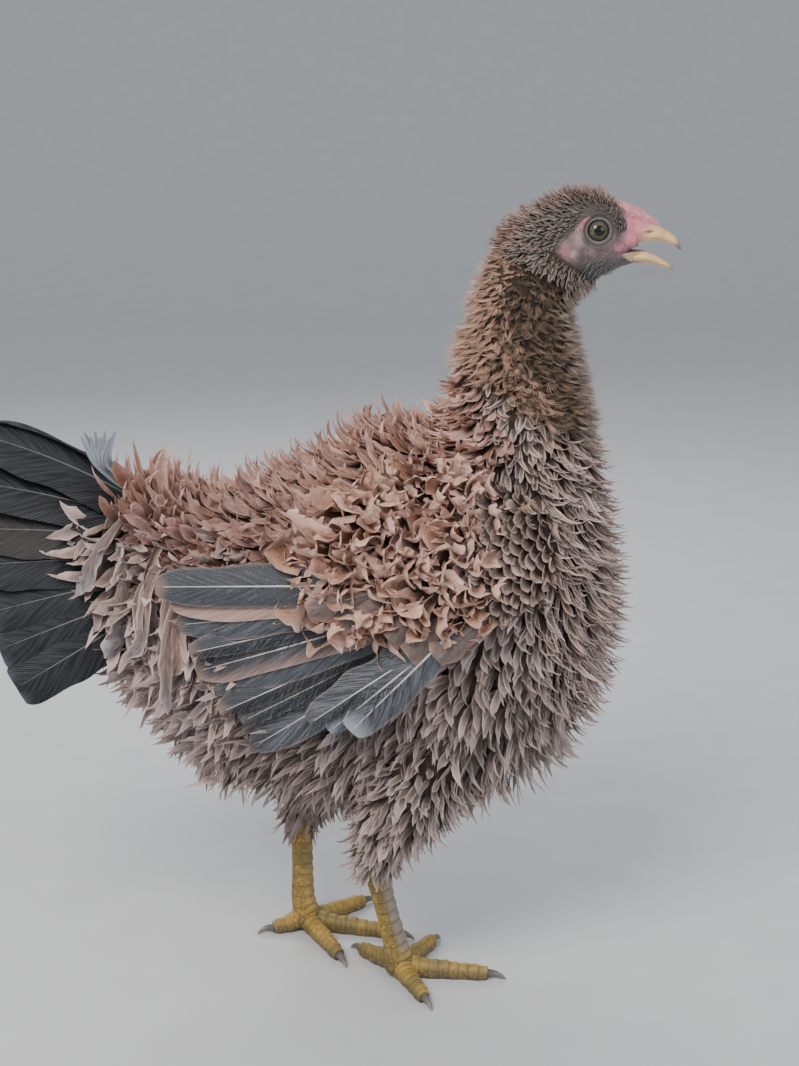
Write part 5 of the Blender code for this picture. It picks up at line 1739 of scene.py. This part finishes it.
# The bill: two curved blades of horn over bone, held open. The upper has
# the nostril in soft pink skin near its root and a darker hooked tip.
BILL_UPPER = [
    (98.4, 340.6, 99.4, 328.9, 6.0),
    (101, 340.2, 101.2, 329.2, 5.6),
    (104.5, 338.4, 104.8, 329.8, 4.9),
    (108.5, 336.9, 108.8, 330, 4.2),
    (112.5, 335.2, 112.4, 329.8, 3.4),
    (116.2, 332.9, 115.4, 328.8, 2.5),
    (118.9, 330.2, 117.8, 327.6, 1.5),
    (120.4, 326.6, 119.7, 326.2, 0.35),
]
BILL_LOWER = [
    (99.0, 326.0, 99.4, 320.6, 5.4),
    (101.6, 325.9, 101.8, 320.6, 5.0),
    (105, 325.4, 105, 320.5, 4.4),
    (109.0, 323.9, 108.6, 319.9, 3.6),
    (112.6, 322.0, 112, 319.0, 2.6),
    (115.6, 319.9, 115.2, 318.3, 1.4),
    (117.2, 318.4, 117.0, 318.0, 0.35),
]
NOSTRIL = (106.3, 4.5, 334.0)
horn, wire, inputs = finish("bill_horn", roughness=0.38)
flesh, tip = wire.reading("flesh"), wire.reading("tip")
stretched = wire.node("ShaderNodeMapping", {}, {"Vector": wire.ground(), "Scale": (160, 700, 700)})
grain = wire.noise(1.0, 4, 0.6, stretched)
colour = wire.mix((0.680, 0.430, 0.190), (0.800, 0.600, 0.360), grain.ramp(0.3, 0.7))
colour = wire.mix(colour, (0.600, 0.310, 0.110), wire.reading("amber") * 0.8)
colour = wire.mix(colour, (0.120, 0.105, 0.090), tip * (grain * 0.6 + 0.6))
colour = wire.mix(colour, (0.600, 0.220, 0.245), flesh)
colour = wire.mix(colour, (0.190, 0.145, 0.145), wire.reading("chin"))
colour = wire.mix(colour, (0.250, 0.095, 0.050), wire.reading("slit"))
feed(inputs, Base_Color=colour.shade(grain * 0.3 + 0.84), Normal=bumped(grain, 0.35, 0.0004))
for name, table in (("upper", BILL_UPPER), ("lower", BILL_LOWER)):
    place, turn = grid_of(np.linspace(0, len(table) - 1, 84), around(56))
    points = ring_points(rows_at(np.array(table), place), turn, 0.0)
    outer = 1 if name == "upper" else -1
    points[..., 1] *= 1 - 0.20 * np.clip(np.cos(turn) * outer, 0, 1)
    if name == "upper":
        even = on_one_side(points)
        inward = np.array((0, 1, 0)) * np.sign(points[..., 1:2])
        dent = hump(even, NOSTRIL, (1.55, 3, 0.62), 1.25) - hump(
            even, (106.6, 4.4, 335.3), (2.4, 3, 1.0), 0.45
        )
        points = points - inward * dent[..., None]
    blade = piece_of(f"bill_{name}_horn", [points], horn)
    even = on_one_side(body_places(blade.data))
    x, z = even[:, 0], even[:, 2]
    if name == "upper":
        tint(
            blade.data,
            flesh=1 - soft_step(x - (z - 334) * 0.9, 100.5, 109),
            slit=hump(even, (105.6, 4.5, 334.1), (2.3, 4, 0.55), 1.0),
            amber=hump(even, (112.5, 2, 334.5), (5, 6, 1.6), 0.8),
            tip=soft_step(x - 0.5 * (z - 327), 114.5, 119.5),
            chin=0 * x,
        )
    else:
        near_root = 1 - soft_step(x, 99.5, 105)
        tint(
            blade.data,
            flesh=near_root * 0.1,
            slit=0 * x,
            amber=hump(even, (107, 4, 321.6), (5, 6, 1.3), 0.7),
            tip=soft_step(x, 113.5, 117.5) * 0.9,
            chin=near_root * (1 - soft_step(z, 321.0, 322.6)),
        )
    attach(blade, "root")
    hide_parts(f"bill_{name}")

# The tongue: a narrow flesh-red blade, thin at its tip, that lies on the floor of
# the mouth and shows between the open halves of the bill.
tongue_finish, wire, inputs = finish("tongue", roughness=0.35)
feed(inputs, Base_Color=wire.mix((0.20, 0.070, 0.070), (0.32, 0.130, 0.120), wire.noise(500)))
TONGUE = [
    (90, 325.8, 90, 323.6, 3.4), (95, 326.2, 95, 324.2, 3.2), (99, 326.4, 99, 325.0, 2.5),
    (102.5, 326.2, 102.5, 325.4, 1.5), (105, 325.8, 105, 325.5, 0.5),
]
place, turn = grid_of(np.linspace(0, len(TONGUE) - 1, 30), around(24))
points = ring_points(rows_at(np.array(TONGUE), place), turn, 0.0)
tongue = piece_of("tongue", [points], tongue_finish)
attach(tongue, "root")

# The head's bristles: short dark feathers, red-brown on the crown, that
# leave the face bare from the bill to the ear; pale hairs on the throat.
bristles = feather_kind(
    "bristles", 0.3, 0.0, 0.5, 0.9, (0, 0.35, 0.62, 0.84), bite=0.3, push=0.07, uneven=0.2
)
crown_finish = plumage(
    "crown_bristles", (0.130, 0.086, 0.068), (0.440, 0.255, 0.195), (0.310, 0.220, 0.185),
    (0.600, 0.410, 0.345), (0.480, 0.340, 0.290), tipped=0.7,
)
olive_finish = plumage(
    "side_bristles", (0.100, 0.080, 0.066), (0.250, 0.196, 0.162), (0.190, 0.156, 0.134),
    (0.400, 0.325, 0.280), (0.310, 0.255, 0.222), tipped=0.6,
)
place, turn = grid_of(np.linspace(17.6, 24.3, 90), np.linspace(-math.pi, math.pi, 120))
points = on_body(place, turn)
bare = depth_inside(points[..., (0, 2)], BARE)
growth = 1 - soft_step(bare, -0.5, 0.4)
throat = soft_step(-np.cos(turn), 0.35, 0.7) * soft_step(points[..., 0], 72, 84)
growth = growth * (1 - throat * 0.6)
size = 1 - 0.5 * soft_step(bare, -6, 0) + 0.25 * (1 - soft_step(place, 18, 20.5))
top = 1 - soft_step(np.abs(turn), 0.45, 0.95)
middle = core(place)
for name, share, material, seed in (
    ("crown", top, crown_finish, 115), ("side", 1 - top, olive_finish, 114),
):
    grow(
        f"{name}_bristles", points, middle, backwards(place, turn, -0.05), growth * share,
        {"long": 6.4 * size, "wide": 1.1 * size, "rise": 24.0, "curl": 78.0}, material,
        "face_skin", Seed=seed, Shapes=bristles, Spacing=0.00096, Cup=0.2, Spin=0.5,
        Sink=0.0004, Thickness=0.00014, Hook=0.4, Unevenness=0.3,
    )
pale = plumage(
    "throat_hairs", (0.070, 0.062, 0.060), (0.180, 0.165, 0.160), (0.130, 0.120, 0.115),
    (0.330, 0.315, 0.305), (0.260, 0.245, 0.235), tipped=0.8,
)
growth = throat * (1 - soft_step(points[..., 0], 88, 98))
grow(
    "throat_hairs", points, middle, backwards(place, turn, 0.1), growth,
    {"long": 3.8, "wide": 0.5, "rise": 12.0, "curl": 50.0}, pale, "face_skin",
    Seed=111, Shapes=bristles, Spacing=0.0013, Sink=0.0004, Thickness=0.00012, Spin=0.4,
)

# The legs: bare shanks and toes sheathed in horny scutes, overlapping
# plates in front and on top, and small net-like scales behind and below.
SHANK_RADII = (6.2, 6.4, 6.0, 5.1, 4.9, 5.5, 6.2)  # from above the hock to the foot
SHANK_SCUTES = 16
TOE_SCUTES = 9
TOE_RINGS = ((4.3, 5.4), (4.4, 4.9), (3.7, 4.3), (3.7, 4.2), (3.1, 3.7), (3.1, 3.6), (2.4, 3.0))
SCUTE_LIFT = 0.55
PAD_LIFT = 0.5


def scuted(spine, radii, scutes, front, steps=7, sides=44, pads=0):
    """A leg or toe with plates that rise towards its far end, thickest along the front.

    Gives its points and, for the colours, each plate's rise and the share of front.
    """
    spine = np.asarray(spine, float)
    rings = scutes * steps + 1
    place, turn = grid_of(np.linspace(0, len(spine) - 1, rings), around(sides))
    points = tube_points(spine, radii, turn, place)
    centre = rows_at(spine, place)
    away = unit(points - centre)
    ahead = (away * np.asarray(front, float)).sum(-1)
    facing = soft_step(ahead, 0.05, 0.55)
    part = np.arange(rings)[:, None] / steps % 1.0
    plate = np.broadcast_to(np.where(part < 0.8, part / 0.8, (1 - part) / 0.2), facing.shape)
    lift = SCUTE_LIFT * plate ** 1.4 * facing
    if pads:
        share = np.linspace(0, 1, rings)[:, None]
        under = 1 - soft_step(ahead, -0.6, 0.1)
        lift = lift + PAD_LIFT * np.abs(np.sin(share * math.pi * pads)) * under
    return points + away * lift[..., None], plate, facing


def stand_on_floor(points):
    """Flattens what would sink into the floor."""
    points = points.copy()
    points[..., 2] = np.maximum(points[..., 2], 0.05)
    return points


leg_finish, wire, inputs = finish("leg_scales", roughness=0.5, specular=0.45)
plate, front, dirt = (wire.reading(name) for name in ("plate", "front", "dirt"))
seam = wire.cells("DISTANCE_TO_EDGE", 480.0).ramp(0.0, 0.14)
broad, mottle = wire.noise(55, 3), wire.noise(420, 4, 0.65)
colour = wire.mix((0.300, 0.180, 0.028), (0.480, 0.300, 0.062), mottle.ramp(0.3, 0.7))
colour = wire.mix(colour, (0.120, 0.108, 0.036), broad.ramp(0.44, 0.66) * 0.7)
colour = wire.mix(colour, (0.215, 0.185, 0.165), front * wire.reading("ashen") * 0.85)
colour = wire.mix(colour, (0.400, 0.310, 0.200), plate.ramp(0.75, 1.0) * front * 0.3)
colour = wire.mix(colour, (0.075, 0.060, 0.036), (1 - seam) * (1 - front) * 0.6)
# Darker in patches near the floor.
colour = wire.mix(colour, (0.095, 0.078, 0.060), dirt * mottle.ramp(0.36, 0.6))
rough_skin = seam * (1 - front) * 0.7 + mottle * 0.4
# Darker where each plate sits lowest, as painted shade in the grooves between plates; the foot's
# pad, which has no plates, is darkened the same.
feed(
    inputs, Base_Color=colour.shade(plate.ramp(0.0, 0.25) * 0.35 + 0.67),
    Normal=bumped(rough_skin, 0.6, 0.0005),
)

# Claws: short curved cones of grey-brown horn, one at the end of each toe, worn
# pale at the points.
claw_finish, wire, inputs = finish("claw_horn", roughness=0.38)
grain = wire.noise(520, 4, 0.6)
colour = wire.mix((0.055, 0.050, 0.045), (0.140, 0.125, 0.112), grain.ramp(0.3, 0.7))
colour = wire.mix(colour, (0.300, 0.270, 0.240), wire.reading("point") * 0.7)
feed(inputs, Base_Color=colour, Normal=bumped(grain, 0.3, 0.0003))
CLAW_RADII = ((1.9, 2.2), (1.75, 2.0), (1.3, 1.5), (0.85, 0.95), (0.22, 0.25))

for name, leg in LEGS.items():
    hock, ankle, ball = (np.array(leg[key], float) for key in ("hock", "ankle", "ball"))
    up = unit(hock - ankle)
    shank = [hock + (ankle - hock) * t for t in (0.33, 0.66, 1)]
    parts = [scuted(
        [hock + up * 10, hock + up * 3, hock, *shank, ball + (-0.5, 0, 1.5)],
        [(r, r) for r in SHANK_RADII], SHANK_SCUTES, (1, 0, 0), steps=8, sides=56,
    )]
    pad = blob((0, 0, 0), (7.4, 6.9, 6.2), rings=26, sides=36) + ball
    nothing = np.zeros(pad.shape[:2])
    parts.append((pad, nothing, nothing))
    claws = []
    for toe, tip in leg["toes"].items():
        tip = np.array((*tip, 0), float)
        root = np.array((ball[0], ball[1], 0))
        share = np.linspace(0, 1, len(TOE_RINGS))
        heights = np.array([high for _, high in TOE_RINGS]) - 0.5
        heights[0] += 1.0
        spine = root + (tip - root) * share[:, None]
        spine[:, 2] = heights
        if toe == "hind":
            spine[:, 2] += 3.0 * np.exp(-((share - 0.15) / 0.25) ** 2)
        parts.append(scuted(spine, TOE_RINGS, TOE_SCUTES, (0, 0, 1), steps=7, sides=32, pads=4))
        ahead = unit(spine[-1] - spine[-2])
        level = ahead * (1, 1, 0)
        base = spine[-1] - ahead * 1.6
        claws.append((toe, [
            base, base + ahead * 2.2 + (0, 0, 0.35), base + level * 5.2 + (0, 0, 0.1),
            base + level * 8.0 - (0, 0, 1.0), base + level * 10.0 - (0, 0, 2.35),
        ]))
    thing = piece_of(f"leg_{name}", [stand_on_floor(part[0]) for part in parts], leg_finish)
    high = body_places(thing.data)[:, 2]
    tint(
        thing.data,
        plate=np.concatenate([part[1].ravel() for part in parts]),
        front=np.concatenate([part[2].ravel() for part in parts]),
        ashen=soft_step(high, 8, 20) * (1.0 if name == "right" else 0.25),
        dirt=1 - soft_step(high, 0.5, 7),
    )
    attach(thing, "root")
    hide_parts(f"shank_{name}", f"foot_{name}")

    for toe, spine in claws:
        place, turn = grid_of(np.linspace(0, len(spine) - 1, 26), around(20))
        points = stand_on_floor(tube_points(spine, CLAW_RADII, turn, place))
        claw = piece_of(f"claw_horn_{name}_{toe}", [points], claw_finish)
        tint(claw.data, point=(place / (len(spine) - 1)) ** 2)
        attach(claw, "root")
        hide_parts(f"claw_{name}_{toe}")

# Done: the loose feather shapes are put away.
for group in shape_groups:
    for shape in list(group.objects):
        bpy.data.objects.remove(shape)
    bpy.data.collections.remove(group)
